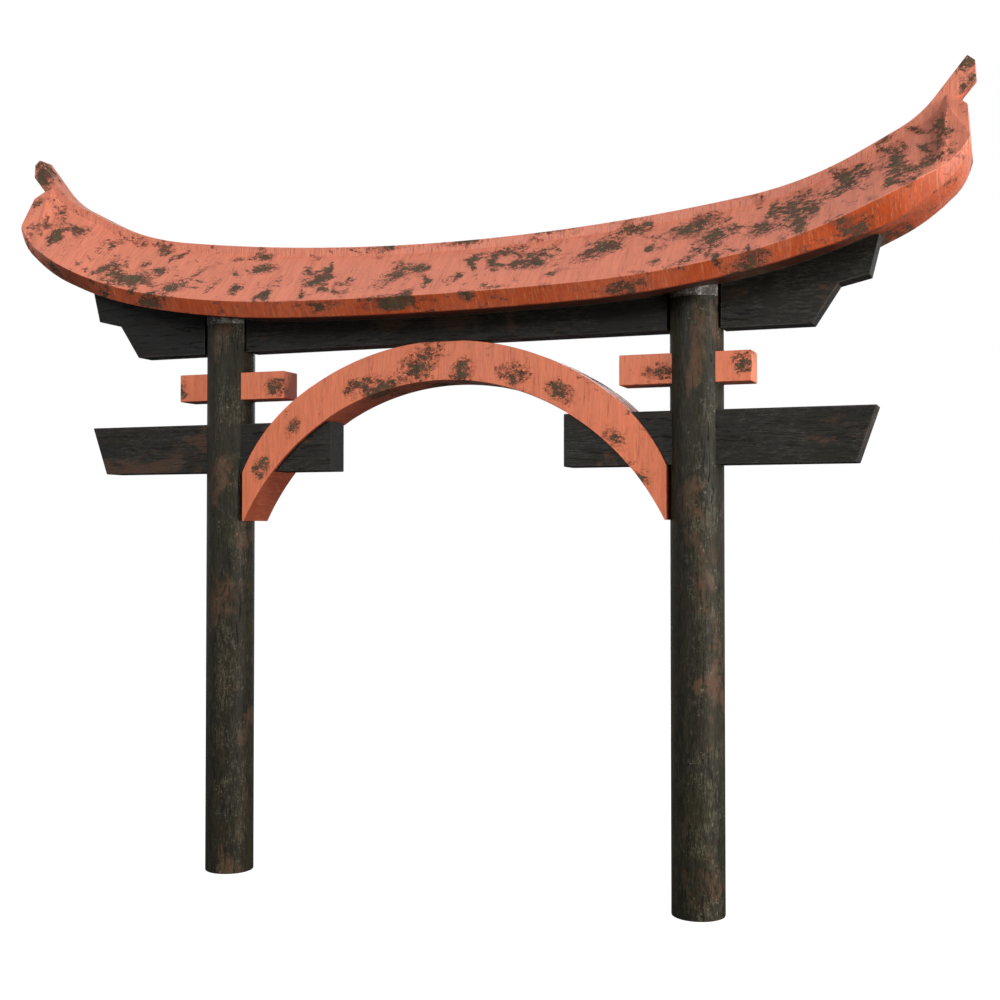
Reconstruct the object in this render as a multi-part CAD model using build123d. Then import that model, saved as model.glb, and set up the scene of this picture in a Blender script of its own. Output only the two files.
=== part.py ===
from build123d import *
import os
from math import cos, inf, pi, radians, sin, sqrt

# Torii gate. Two round posts carry a stepped upper beam and a planked roof whose ends sweep up.
# A tie beam and a short square bar pass through each post, and an arch stands between the posts.
#
# Everything is drawn about the middle of the gate: X runs along the roof, Y from front to back,
# and Z is height above the ground. The finished pieces are then moved so that the origin is the
# centre of the left post's foot. The right half is drawn and the left half is its mirror image.

# Posts and the bands round their tops
POST_SPACING = 3000
POST_RADIUS = 150
COLLAR_HEIGHT = 52
COLLAR_THICKNESS = 4

# Upper beam, in three lengths that butt against the posts
UPPER_BEAM_BOTTOM = 3248
UPPER_BEAM_HALF_DEPTH = 73
UPPER_BEAM_TOE = 647
UPPER_BEAM_STEP_START = 785
UPPER_BEAM_STEP_END = 950
UPPER_BEAM_TIP = 1002
STEP_HEIGHT = 210
STEP_RISE = 38
TENON_LENGTH = 60
TENON_HALF_WIDTH = 30
TENON_BOTTOM = 3290
TENON_HEIGHT = 110

# Tie beams: one through each post, ending short of mid span
TIE_BOTTOM = 2496
TIE_HEIGHT = 304
TIE_HALF_DEPTH = 87
TIE_INNER_REACH = 756
TIE_OUTER_REACH = 986
TIE_END_LEAN = 106

# Short square bars through the posts, above the tie beams
BAR_BOTTOM = 2949
BAR_SIZE = 172
BAR_INNER_REACH = 427
BAR_OUTER_REACH = 322

# Arch between the posts
ARCH_FRONT = -112
ARCH_BACK = 182
ARCH_FOOT = 2192
ARCH_TOE_WIDTH = 10
ARCH_SHOULDER = 2494
ARCH_INNER_RISE = 826
ARCH_CROWN_OVERLAP = 6
ARCH_HAUNCH_INSET = 500
ARCH_HAUNCH_HEIGHT = 2924
ARCH_JOINT_ANGLE = 30

# Roof. Each long line of the roof starts level at mid span and bends upwards in tangent arcs.
# A sweep lists the arcs as (radius, how far past the post's axis the arc ends).
STRAIGHT = inf
RIDGE_HEIGHT = 3847
RIDGE_SWEEP = ((12900, 300), (1940, 904), (STRAIGHT, 1100), (560, 1284), (STRAIGHT, 1447))
RIDGE_HALF_WIDTH = 62.5
RIDGE_DEPTH = 105
RIDGE_SHOWING = 54
RIDGE_BARE_SPAN = (1330, 1385)
RIDGE_TIP_FACE = 51
RIDGE_TIP_CUT = 60.5

EAVE_HEIGHT = 3479
EAVE_SWEEP = ((28000, -600), (6500, 300), (2700, 1150), (STRAIGHT, 1338), (50, 1359), (STRAIGHT, 1467))
EAVE_HALF_WIDTH = 410
EAVE_TAPER_START = 850
EAVE_TAPER_RADIUS = 900
SILL_HEIGHT = 3388
SILL_SWEEP = ((26000, -600), (6300, 300), (3500, 1060), (950, 1396), (120, 1416), (STRAIGHT, 1467))
SILL_HALF_WIDTH = 345
SILL_TAPER = (600, 1100)
END_HALF_WIDTH = 220

SLOPE_BOARD_THICKNESS = 60
EAVE_BOARD_WIDTH = 30
SOFFIT_BOARD_THICKNESS = 25
SOFFIT_RISE = 25
SOFFIT_END_DIP = 30
SOFFIT_DIP_SPAN = (1000, 1467)
LIP_EXTRA_WIDTH = 15
LIP_DROP = 30
LIP_SPAN = (900, 1385)

# Gable boards close the roof's ends
GABLE_INNER = 1385
GABLE_RIM = 1422
GABLE_OUTER = 1467
GABLE_TOP_DROP = 14
GABLE_TOP_BEVEL = (4, 33)
GABLE_BEVEL_HALF_WIDTH = 104
GABLE_EAVE_RISE = 14
GABLE_LEAN = 0.068

# The roof is made in three lengths, joined a little outside the posts.
ROOF_JOINT = 300
CENTRE_BAYS = 24
END_STATIONS = (300, 375, 450, 525, 600, 675, 750, 825, 900, 970, 1035, 1100, 1150, 1200, 1245)
END_STATIONS += (1258, 1271, 1284, 1312, 1338, 1348, 1359, 1385)
SHORTEST_BAY = 1

# Clearances
BOARD_GAP = 0.3
SEAT_GAP = 0.2
SCRIBE_MARGIN = 30

POST_X = POST_SPACING / 2


# A point (x, height) on a roof line, and the sine of the line's slope there
def line_at(start_height, sweep, x):
    height = start_height
    sine = 0.0
    arc_start = 0.0
    for radius, past_post in sweep:
        arc_end = POST_X + past_post
        run = min(x, arc_end) - arc_start
        next_sine = sine + run / radius
        if radius == STRAIGHT:
            height += run * sine / sqrt(1 - sine**2)
        else:
            height += radius * (sqrt(1 - sine**2) - sqrt(1 - next_sine**2))
        sine = next_sine
        if x <= arc_end:
            break
        arc_start = arc_end
    return height, sine


# The sweep of a line that runs parallel to another one, a given depth under it
def sweep_below(sweep, depth):
    lower = []
    for radius, past_post in sweep:
        _, sine = line_at(0, sweep, POST_X + past_post)
        lower.append((radius + depth, past_post + depth * sine))
    return tuple(lower)


RIDGE_UNDERSIDE = sweep_below(RIDGE_SWEEP, RIDGE_DEPTH)


# A share that grows smoothly from 0 to 1 between two distances past the post
def ease(past_post, start, end):
    share = min(max((past_post - start) / (end - start), 0), 1)
    return (1 - cos(pi * share)) / 2


# Heights of the ridge bar's top and underside
def ridge_heights(x):
    top, sine = line_at(RIDGE_HEIGHT, RIDGE_SWEEP, x)
    bottom, _ = line_at(RIDGE_HEIGHT - RIDGE_DEPTH, RIDGE_UNDERSIDE, x)
    return top, bottom, sqrt(1 - sine**2)


# Half-widths of the roof at the top edge of the eave board and at its foot, the sill
def half_widths(x):
    past_post = x - POST_X
    run = max(past_post - EAVE_TAPER_START, 0)
    narrowing = EAVE_TAPER_RADIUS - sqrt(EAVE_TAPER_RADIUS**2 - min(run, EAVE_TAPER_RADIUS) ** 2)
    eave = max(EAVE_HALF_WIDTH - narrowing, END_HALF_WIDTH)
    sill = SILL_HALF_WIDTH - (SILL_HALF_WIDTH - END_HALF_WIDTH) * ease(past_post, *SILL_TAPER)
    return eave, sill


# The soffit is a shallow V: its middle is higher than the sills, and lower at the very ends.
def soffit_middle(x):
    sill_height, _ = line_at(SILL_HEIGHT, SILL_SWEEP, x)
    dip = (SOFFIT_RISE + SOFFIT_END_DIP) * ease(x - POST_X, *SOFFIT_DIP_SPAN)
    return sill_height + SOFFIT_RISE - dip


def soffit_at(x, y):
    sill_height, _ = line_at(SILL_HEIGHT, SILL_SWEEP, x)
    _, sill_y = half_widths(x)
    middle = soffit_middle(x)
    return middle + (sill_height - middle) * abs(y) / sill_y


# Corner points (y, z) of the back half of the roof, cut across at x
def roof_corners(x):
    x = abs(x)
    past_post = x - POST_X
    top, bottom, cosine = ridge_heights(x)
    showing = RIDGE_SHOWING + (RIDGE_DEPTH - RIDGE_SHOWING) * ease(past_post, *RIDGE_BARE_SPAN)
    eave_y, sill_y = half_widths(x)
    eave_z, _ = line_at(EAVE_HEIGHT, EAVE_SWEEP, x)
    sill_z, _ = line_at(SILL_HEIGHT, SILL_SWEEP, x)
    # At the gable board the slope meets the ridge bar's lower edge.
    slope_z = bottom if showing == RIDGE_DEPTH else top - showing / cosine
    lip = ease(past_post, *LIP_SPAN)
    lip_width = EAVE_BOARD_WIDTH + LIP_EXTRA_WIDTH * lip
    pitch = (slope_z - eave_z) / (eave_y - RIDGE_HALF_WIDTH)
    lip_z = eave_z + lip_width * pitch - LIP_DROP * lip
    lip_y = eave_y - lip_width
    inner_y = sill_y - EAVE_BOARD_WIDTH
    inner_z = soffit_at(x, inner_y)
    # The slope board's lower edge is bevelled to lie against the eave board.
    board_height = SLOPE_BOARD_THICKNESS / cosine
    edge_share = board_height / (lip_z - inner_z)
    under_y = lip_y + (inner_y - lip_y) * edge_share
    top_y = inner_y + (lip_y - inner_y) * SOFFIT_BOARD_THICKNESS / (lip_z - inner_z)
    return {
        "ridge_foot": (RIDGE_HALF_WIDTH, bottom),
        "ridge_seat": (RIDGE_HALF_WIDTH, bottom - SEAT_GAP),
        "slope_top": (RIDGE_HALF_WIDTH, slope_z),
        "slope_top_under": (RIDGE_HALF_WIDTH, slope_z - board_height),
        "slope_end": (lip_y, lip_z),
        "slope_end_under": (under_y, lip_z - board_height),
        "eave": (eave_y, eave_z),
        "sill": (sill_y, sill_z),
        "sill_inner": (inner_y, inner_z),
        "sill_inner_top": (top_y, inner_z + SOFFIT_BOARD_THICKNESS),
        "soffit": (0, soffit_middle(x)),
        "soffit_top": (0, soffit_middle(x) + SOFFIT_BOARD_THICKNESS),
    }


# The same outline drawn a little smaller, so that neighbouring boards don't bind
def shrink(outline, distance):
    count = len(outline)
    area = 0
    for index, (y, z) in enumerate(outline):
        next_y, next_z = outline[(index + 1) % count]
        area += y * next_z - next_y * z
    inward = distance if area > 0 else -distance
    smaller = []
    for index, corner in enumerate(outline):
        before = Vector(*outline[index - 1])
        here = Vector(*corner)
        after = Vector(*outline[(index + 1) % count])
        edge_in = (here - before).normalized()
        edge_out = (after - here).normalized()
        normal_in = Vector(-edge_in.Y, edge_in.X)
        normal_out = Vector(-edge_out.Y, edge_out.X)
        moved = here + (normal_in + normal_out) * (inward / (1 + normal_in.dot(normal_out)))
        smaller.append((moved.X, moved.Y))
    return smaller


# A board that follows the roof: outline(x) gives its cross-section at each station
def roof_board(stations, outline, gap=BOARD_GAP):
    sections = []
    for x in stations:
        corners = [(x, y, z) for y, z in shrink(outline(x), gap / 2)]
        sections.append(Wire.make_polygon(corners, close=True))
    return Solid.make_loft(sections, ruled=True)


# Completes an outline: the points given run up the back half, and the front half mirrors them.
def both_sides(points):
    front = [(-y, z) for y, z in reversed(points) if y > 0]
    return points + front


# The roof's boards, each as a cross-section
def slope_outline(side):
    def outline(x):
        corner = roof_corners(x)
        names = ("slope_top", "slope_end", "slope_end_under", "slope_top_under")
        return [(side * corner[name][0], corner[name][1]) for name in names]

    return outline


def eave_outline(side):
    def outline(x):
        corner = roof_corners(x)
        names = ("slope_end", "eave", "sill", "sill_inner")
        return [(side * corner[name][0], corner[name][1]) for name in names]

    return outline


def soffit_outline(x):
    corner = roof_corners(x)
    half = [corner[name] for name in ("soffit", "sill_inner", "sill_inner_top")]
    front = [(-y, z) for y, z in reversed(half[1:])]
    return half + [corner["soffit_top"]] + front


def core_outline(x):
    corner = roof_corners(x)
    names = ("soffit_top", "sill_inner_top", "slope_end_under", "slope_top_under", "ridge_seat")
    return both_sides([corner[name] for name in names])


# The ridge bar is sawn to the roof's sweep. Its ends are square above and cut back below.
def ridge_bar(stations, tip=False):
    top = [(x, ridge_heights(abs(x))[0]) for x in stations]
    bottom = [(x, ridge_heights(abs(x))[1]) for x in stations]
    if tip:
        x = POST_X + RIDGE_SWEEP[-1][1]
        height, sine = line_at(RIDGE_HEIGHT, RIDGE_SWEEP, x)
        along = Vector(sqrt(1 - sine**2), sine)
        down = Vector(sine, -sqrt(1 - sine**2))
        upper = Vector(x, height)
        middle = upper + down * RIDGE_TIP_FACE
        lower = upper + down * RIDGE_DEPTH - along * RIDGE_TIP_CUT
        top += [(corner.X, corner.Y) for corner in (upper, middle, lower)]
    outline = Polyline(*top, *reversed(bottom), close=True)
    return slab(make_face(outline), -RIDGE_HALF_WIDTH, RIDGE_HALF_WIDTH)


# A piece drawn from the front, in X and Z, and as deep as from front to back
def slab(face, front, back):
    rear = Plane(origin=(0, back, 0), x_dir=(1, 0, 0), z_dir=(0, -1, 0))
    return extrude(rear * face, back - front)


# A box from its limits along each axis
def block(x_limits, y_limits, z_limits):
    size = [high - low for low, high in (x_limits, y_limits, z_limits)]
    corner = Location((x_limits[0], y_limits[0], z_limits[0]))
    return corner * Box(*size, align=(Align.MIN, Align.MIN, Align.MIN))


# The gable board fills the roof's end. Its inner edge is bevelled down to the slopes, and its
# outer face leans in towards the ridge.
def gable_outline(x):
    corner = roof_corners(x)
    rim_share = (x - POST_X - GABLE_INNER) / (GABLE_RIM - GABLE_INNER)
    lip_y, lip_z = corner["slope_end"]
    rim_edge = (lip_y, lip_z + LIP_DROP * rim_share)
    return both_sides([corner["soffit"], corner["sill"], corner["eave"], rim_edge, corner["ridge_foot"]])


def gable_face_outline():
    rim = roof_corners(POST_X + GABLE_RIM)
    end = roof_corners(POST_X + GABLE_OUTER)
    top = (RIDGE_HALF_WIDTH, rim["ridge_foot"][1] - GABLE_TOP_DROP)
    bevel = (GABLE_BEVEL_HALF_WIDTH, top[1] - GABLE_TOP_BEVEL[1])
    shoulder = (END_HALF_WIDTH, rim["eave"][1] + GABLE_EAVE_RISE)
    return both_sides([end["soffit"], end["sill"], shoulder, bevel, top])


def gable_board():
    sections = []
    for past_post in (GABLE_INNER, (GABLE_INNER + GABLE_RIM) / 2, GABLE_RIM):
        x = POST_X + past_post
        outline = shrink(gable_outline(x), BOARD_GAP / 2)
        sections.append(Wire.make_polygon([(x, y, z) for y, z in outline], close=True))
    face = shrink(gable_face_outline(), BOARD_GAP / 2)
    foot = min(z for y, z in face)
    top = max(z for y, z in face)
    corners = [(POST_X + GABLE_OUTER - (z - foot) * GABLE_LEAN, y, z) for y, z in face]
    sections.append(Wire.make_polygon(corners, close=True))
    board = Solid.make_loft(sections, ruled=True)
    # The outer face is bevelled back to the ridge bar at the top.
    bevel_foot = top - GABLE_TOP_BEVEL[1]
    bevel_x = POST_X + GABLE_OUTER - (bevel_foot - foot) * GABLE_LEAN
    bevel_top = (POST_X + GABLE_RIM + GABLE_TOP_BEVEL[0], top)
    beyond = bevel_x + GABLE_OUTER
    waste = Polyline(bevel_top, (bevel_x, bevel_foot), (beyond, bevel_foot), (beyond, top), close=True)
    return board - slab(make_face(waste), -END_HALF_WIDTH, END_HALF_WIDTH)


# The space above the soffit, used to scribe the posts and their collars to the roof
def roof_space():
    reach = POST_RADIUS + COLLAR_THICKNESS + SCRIBE_MARGIN

    def outline(x):
        edge = soffit_at(x, reach) - SEAT_GAP
        middle = soffit_at(x, 0) - SEAT_GAP
        return [(0, middle), (reach, edge), (reach, RIDGE_HEIGHT), (-reach, RIDGE_HEIGHT), (-reach, edge)]

    near_post = [x for x in CENTRE_STATIONS if x > POST_X - ROOF_JOINT]
    return roof_board(near_post, outline, gap=0)


# Upper beam: its top follows the soffit, and tenons hold it in the posts.
def upper_beam_outline(x):
    side = soffit_at(abs(x), UPPER_BEAM_HALF_DEPTH) - SEAT_GAP
    middle = soffit_at(abs(x), 0) - SEAT_GAP
    return both_sides(
        [(0, middle), (UPPER_BEAM_HALF_DEPTH, side), (UPPER_BEAM_HALF_DEPTH, UPPER_BEAM_BOTTOM)]
    )


def tenon(x_limits):
    y_limits = (-TENON_HALF_WIDTH, TENON_HALF_WIDTH)
    return block(x_limits, y_limits, (TENON_BOTTOM, TENON_BOTTOM + TENON_HEIGHT))


def inner_tenon():
    return tenon((POST_X - POST_RADIUS, POST_X - POST_RADIUS + TENON_LENGTH))


def outer_tenon():
    return tenon((POST_X + POST_RADIUS - TENON_LENGTH, POST_X + POST_RADIUS))


def upper_beam_centre():
    shoulder = POST_X - POST_RADIUS
    inside = [x for x in CENTRE_STATIONS if abs(x) < shoulder - SHORTEST_BAY]
    beam = roof_board([-shoulder] + inside + [shoulder], upper_beam_outline, gap=0)
    return beam + inner_tenon() + mirror(inner_tenon(), about=Plane.YZ)


# The outer end is cut to a stepped profile that leans outwards.
def upper_beam_end():
    shoulder = POST_X + POST_RADIUS
    past_tip = POST_X + UPPER_BEAM_TIP + 2 * UPPER_BEAM_HALF_DEPTH
    stations = CENTRE_STATIONS + RIGHT_STATIONS[1:]
    stations = [x for x in stations if shoulder + SHORTEST_BAY < x < past_tip]
    beam = roof_board([shoulder] + stations, upper_beam_outline, gap=0)
    step = UPPER_BEAM_BOTTOM + STEP_HEIGHT
    profile = Polyline(
        (shoulder, UPPER_BEAM_BOTTOM),
        (POST_X + UPPER_BEAM_TOE, UPPER_BEAM_BOTTOM),
        (POST_X + UPPER_BEAM_STEP_START, step),
        (POST_X + UPPER_BEAM_STEP_END, step + STEP_RISE),
        (POST_X + UPPER_BEAM_TIP, step + STEP_RISE + STEP_HEIGHT),
        (shoulder, step + STEP_RISE + STEP_HEIGHT),
        close=True,
    )
    elevation = slab(make_face(profile), -UPPER_BEAM_HALF_DEPTH, UPPER_BEAM_HALF_DEPTH)
    return (beam & elevation) + outer_tenon()


# Tie beam: square at its inner end, and longer at the top than at the bottom outside
def tie_beam():
    inner = POST_X - TIE_INNER_REACH
    outer = POST_X + TIE_OUTER_REACH
    top = TIE_BOTTOM + TIE_HEIGHT
    profile = Polyline(
        (inner, TIE_BOTTOM),
        (outer - TIE_END_LEAN, TIE_BOTTOM),
        (outer, top),
        (inner, top),
        close=True,
    )
    return slab(make_face(profile), -TIE_HALF_DEPTH, TIE_HALF_DEPTH)


def short_bar():
    x_limits = (POST_X - BAR_INNER_REACH, POST_X + BAR_OUTER_REACH)
    return block(x_limits, (-BAR_SIZE / 2, BAR_SIZE / 2), (BAR_BOTTOM, BAR_BOTTOM + BAR_SIZE))


def post():
    shaft = Pos(POST_X, 0, 0) * extrude(Circle(POST_RADIUS), RIDGE_HEIGHT)
    return shaft - roof_space() - tie_beam() - short_bar() - inner_tenon() - outer_tenon()


# Collar: a band that hangs below the soffit, scribed to it like the post, and open for the beam
def collar():
    bottom = soffit_at(POST_X, 0) - COLLAR_HEIGHT
    ring = Circle(POST_RADIUS + COLLAR_THICKNESS) - Circle(POST_RADIUS)
    band = Pos(POST_X, 0, bottom) * extrude(ring, RIDGE_HEIGHT - bottom)
    beam_slot = block(
        (POST_X - 2 * POST_RADIUS, POST_X + 2 * POST_RADIUS),
        (-UPPER_BEAM_HALF_DEPTH - SEAT_GAP, UPPER_BEAM_HALF_DEPTH + SEAT_GAP),
        (bottom, RIDGE_HEIGHT),
    )
    return band - roof_space() - beam_slot


# Arch: pointed feet against the posts, and a crown planed flat under the upper beam
def arch():
    heel = POST_X - POST_RADIUS
    toe = heel - ARCH_TOE_WIDTH
    haunch = POST_X - ARCH_HAUNCH_INSET
    crown = UPPER_BEAM_BOTTOM + ARCH_CROWN_OVERLAP
    over = ThreePointArc((-haunch, ARCH_HAUNCH_HEIGHT), (0, crown), (haunch, ARCH_HAUNCH_HEIGHT))
    right = TangentArc((haunch, ARCH_HAUNCH_HEIGHT), (heel, ARCH_SHOULDER), tangent=over % 1)
    left = mirror(right, about=Plane.YZ)
    right_foot = Polyline((heel, ARCH_SHOULDER), (heel, ARCH_FOOT), (toe, ARCH_FOOT))
    left_foot = mirror(right_foot, about=Plane.YZ)
    under = ThreePointArc((-toe, ARCH_FOOT), (0, ARCH_FOOT + ARCH_INNER_RISE), (toe, ARCH_FOOT))
    face = make_face([over, right, left, right_foot, left_foot, under])
    whole = slab(face, ARCH_FRONT, ARCH_BACK)
    above = block((-heel, heel), (ARCH_FRONT, ARCH_BACK), (UPPER_BEAM_BOTTOM, RIDGE_HEIGHT))
    return whole - above - tie_beam() - mirror(tie_beam(), about=Plane.YZ)


# The arch is joined at two radial cuts, above the tie beams.
def arch_pieces():
    toe = POST_X - POST_RADIUS - ARCH_TOE_WIDTH
    radius = (toe**2 + ARCH_INNER_RISE**2) / (2 * ARCH_INNER_RISE)
    centre = ARCH_FOOT + ARCH_INNER_RISE - radius
    reach = 2 * radius
    angle = radians(ARCH_JOINT_ANGLE)
    corner = (reach * sin(angle), centre + reach * cos(angle))
    wedge = Polyline((0, centre), corner, (-corner[0], corner[1]), close=True)
    middle = slab(make_face(wedge), ARCH_FRONT, ARCH_BACK)
    whole = arch()
    legs = (whole - middle).solids().sort_by(Axis.X)
    return {"arch_left": legs[0], "arch_crown": whole & middle, "arch_right": legs[-1]}


CENTRE_END = POST_X + ROOF_JOINT
CENTRE_STATIONS = [CENTRE_END * (2 * bay / CENTRE_BAYS - 1) for bay in range(CENTRE_BAYS + 1)]
RIGHT_STATIONS = [POST_X + past_post for past_post in END_STATIONS]


def build():
    pieces = {}
    paired = {"post": post(), "collar": collar(), "tie_beam": tie_beam(), "short_bar": short_bar()}
    paired["gable_board"] = gable_board()
    pieces.update(arch_pieces())
    pieces["upper_beam_centre"] = upper_beam_centre()
    pieces["ridge_centre"] = ridge_bar(CENTRE_STATIONS)
    ends = {"upper_beam": upper_beam_end(), "ridge": ridge_bar(RIGHT_STATIONS, tip=True)}
    boards = {"roof_beam": core_outline, "soffit": soffit_outline}
    for face, side in (("front", -1), ("back", 1)):
        boards[f"{face}_slope"] = slope_outline(side)
        boards[f"{face}_eave"] = eave_outline(side)
    for name, outline in boards.items():
        pieces[f"{name}_centre"] = roof_board(CENTRE_STATIONS, outline)
        ends[name] = roof_board(RIGHT_STATIONS, outline)
    for name, piece in paired.items():
        pieces[f"right_{name}"] = piece
        pieces[f"left_{name}"] = mirror(piece, about=Plane.YZ)
    for name, piece in ends.items():
        pieces[f"{name}_right"] = piece
        pieces[f"{name}_left"] = mirror(piece, about=Plane.YZ)
    return pieces


os.makedirs("parts", exist_ok=True)
for name, piece in build().items():
    export_step(Pos(POST_X, 0, 0) * piece, f"parts/{name}.step")
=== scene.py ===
# %% [markdown]
# # A weathered torii gate
# The gate is a timber frame: two round posts, a dark stepped beam, a roof whose ends sweep up, a
# tie beam and a short bar through each post, and an arch between them. The roof, the bars and the
# arch are painted vermilion, and the paint has peeled in ragged patches. Blender adds what a drawing
# of sizes can't hold: rounded arrises, smooth sweeps, grain, peeling and worn edges. Sizes that a box
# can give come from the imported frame, and the long lines of the roof and the arch repeat the sizes
# that it was made with. The roof ends' finer shape, the peeled patches, the colours and the lamps are
# chosen here, for the looks alone.

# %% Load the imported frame
import math

import bmesh
import bpy
import numpy as np
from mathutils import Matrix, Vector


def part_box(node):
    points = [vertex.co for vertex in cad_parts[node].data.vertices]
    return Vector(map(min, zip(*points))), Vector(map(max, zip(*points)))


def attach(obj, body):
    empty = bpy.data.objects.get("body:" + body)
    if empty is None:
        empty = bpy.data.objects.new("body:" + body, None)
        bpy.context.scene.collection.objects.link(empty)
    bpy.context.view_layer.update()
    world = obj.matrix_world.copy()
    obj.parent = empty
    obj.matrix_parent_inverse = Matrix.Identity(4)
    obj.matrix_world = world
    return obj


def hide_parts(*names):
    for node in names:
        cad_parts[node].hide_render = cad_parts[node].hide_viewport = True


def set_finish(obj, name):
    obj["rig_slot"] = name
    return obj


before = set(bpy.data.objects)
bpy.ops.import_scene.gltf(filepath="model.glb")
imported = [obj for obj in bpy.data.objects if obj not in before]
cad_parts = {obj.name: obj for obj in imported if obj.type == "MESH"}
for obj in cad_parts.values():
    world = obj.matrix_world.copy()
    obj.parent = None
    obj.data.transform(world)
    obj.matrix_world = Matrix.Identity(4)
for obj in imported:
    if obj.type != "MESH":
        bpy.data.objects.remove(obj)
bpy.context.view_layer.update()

# %% [markdown]
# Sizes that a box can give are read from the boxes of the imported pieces. The middle of the gate is
# half way between the posts, and the drawing below is made about it, because both halves are alike.

# %% Read the sizes of the frame
post_low, post_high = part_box("left_post")
far_low, far_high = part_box("right_post")
POST_RADIUS = (post_high.x - post_low.x) / 2
HALF_SPAN = ((far_low.x + far_high.x) - (post_low.x + post_high.x)) / 4
MIDDLE = (post_low.x + far_high.x) / 2
beam_low, beam_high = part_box("upper_beam_centre")
tie_low, tie_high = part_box("right_tie_beam")
bar_low, bar_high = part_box("right_short_bar")
arch_low, arch_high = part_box("arch_crown")
foot_low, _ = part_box("arch_right")
collar_low, collar_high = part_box("right_collar")
print("posts are", round(2 * HALF_SPAN, 3), "m apart and", round(2 * POST_RADIUS, 3), "m thick")

# %% [markdown]
# A roof like this is set out with a few long lines: the ridge, the edge of the eave and its foot, the
# sill. Each starts level at mid span and bends up in tangent arcs, with straight stretches among
# them. They could be drawn as splines, but an arc needs only its radius and its end, and the packed
# frame is made from the same arcs. The lines are given here in metres: (radius, how far past the post
# the arc ends). Only the eave's last bend differs: here it starts earlier and is rounder.

# %% Set out the roof's long lines
STRAIGHT = math.inf
RIDGE_HEIGHT = 3.847
RIDGE_SWEEP = ((12.9, 0.3), (1.94, 0.904), (STRAIGHT, 1.1), (0.56, 1.284), (STRAIGHT, 1.447))
RIDGE_HALF_WIDTH = 0.0625
RIDGE_DEPTH = 0.105
RIDGE_SHOWING = 0.054
RIDGE_BARE_SPAN = (1.33, 1.385)
RIDGE_TIP_FACE = 0.051
RIDGE_TIP_CUT = 0.0605
EAVE_HEIGHT = 3.479
EAVE_SWEEP = ((28, -0.6), (6.5, 0.3), (2.7, 1.15), (STRAIGHT, 1.306), (0.2, 1.39), (STRAIGHT, 1.467))
EAVE_HALF_WIDTH = 0.41
EAVE_TAPER_START = 0.85
EAVE_TAPER_RADIUS = 0.9
SILL_HEIGHT = 3.388
SILL_SWEEP = ((26, -0.6), (6.3, 0.3), (3.5, 1.06), (0.95, 1.396), (0.12, 1.416), (STRAIGHT, 1.467))
SILL_HALF_WIDTH = 0.345
SILL_TAPER = (0.6, 1.1)
END_HALF_WIDTH = 0.22
SLOPE_BOARD = 0.06
EAVE_BOARD = 0.03
SOFFIT_BOARD = 0.025
SOFFIT_RISE = 0.025
SOFFIT_END_DIP = 0.03
SOFFIT_DIP_SPAN = (1.0, 1.467)
LIP_EXTRA_WIDTH = 0.015
LIP_DROP = 0.03
LIP_SPAN = (0.9, 1.385)
LIP_CORNER = (0.17, 0.11)
RIM_RISE = 0.04
RIM_TOP_RISE = -0.012
DISH_DIP = 0.02
DISH_STRIPS = 22
ROOF_JOINT = 0.3
GABLE_INNER, GABLE_RIM, GABLE_EDGE, GABLE_OUTER = 1.305, 1.348, 1.422, 1.467


def line_at(start_height, sweep, x):
    """Height of a roof line at x from mid span, and the sine of its slope."""
    x = np.abs(np.asarray(x, float))
    height = np.full(x.shape, float(start_height))
    slope = np.zeros(x.shape)
    begin, sine = 0.0, 0.0
    for radius, past_post in sweep:
        end = HALF_SPAN + past_post
        run = np.clip(x - begin, 0, end - begin)
        here = sine + run / radius
        if radius == STRAIGHT:
            height = height + run * sine / math.sqrt(1 - sine**2)
        else:
            height = height + radius * (math.sqrt(1 - sine**2) - np.sqrt(1 - here**2))
        slope = np.where(x > begin, here, slope)
        sine += (end - begin) / radius
        begin = end
    return height, slope


def line_below(sweep, depth):
    """The sweep of a line parallel to another one, a depth under it."""
    lower = []
    for radius, past_post in sweep:
        _, sine = line_at(0, sweep, HALF_SPAN + past_post)
        lower.append((radius + depth, past_post + depth * float(sine)))
    return tuple(lower)


RIDGE_UNDERSIDE = line_below(RIDGE_SWEEP, RIDGE_DEPTH)
tip_height, _ = line_at(RIDGE_HEIGHT, RIDGE_SWEEP, HALF_SPAN + RIDGE_SWEEP[-1][1])

# %% [markdown]
# Across the roof there is the same family of corners at every place along it: the ridge's foot, the
# top and end of the slope board, the outer edge of the eave board, the sill, and the shallow V of the
# soffit. Working them out once, for a whole row of places, keeps all boards in step.

# %% Corners of the roof in cross-section


def ease(past_post, start, end):
    share = np.clip((past_post - start) / (end - start), 0, 1)
    return (1 - np.cos(math.pi * share)) / 2


def soffit_at(x, y):
    """Height of the soffit's underside."""
    x = np.abs(np.asarray(x, float))
    past_post = x - HALF_SPAN
    sill_z, _ = line_at(SILL_HEIGHT, SILL_SWEEP, x)
    sill_y = SILL_HALF_WIDTH - (SILL_HALF_WIDTH - END_HALF_WIDTH) * ease(past_post, *SILL_TAPER)
    dip = (SOFFIT_RISE + SOFFIT_END_DIP) * ease(past_post, *SOFFIT_DIP_SPAN)
    middle = sill_z + SOFFIT_RISE - dip
    return middle + (sill_z - middle) * np.abs(y) / sill_y


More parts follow.
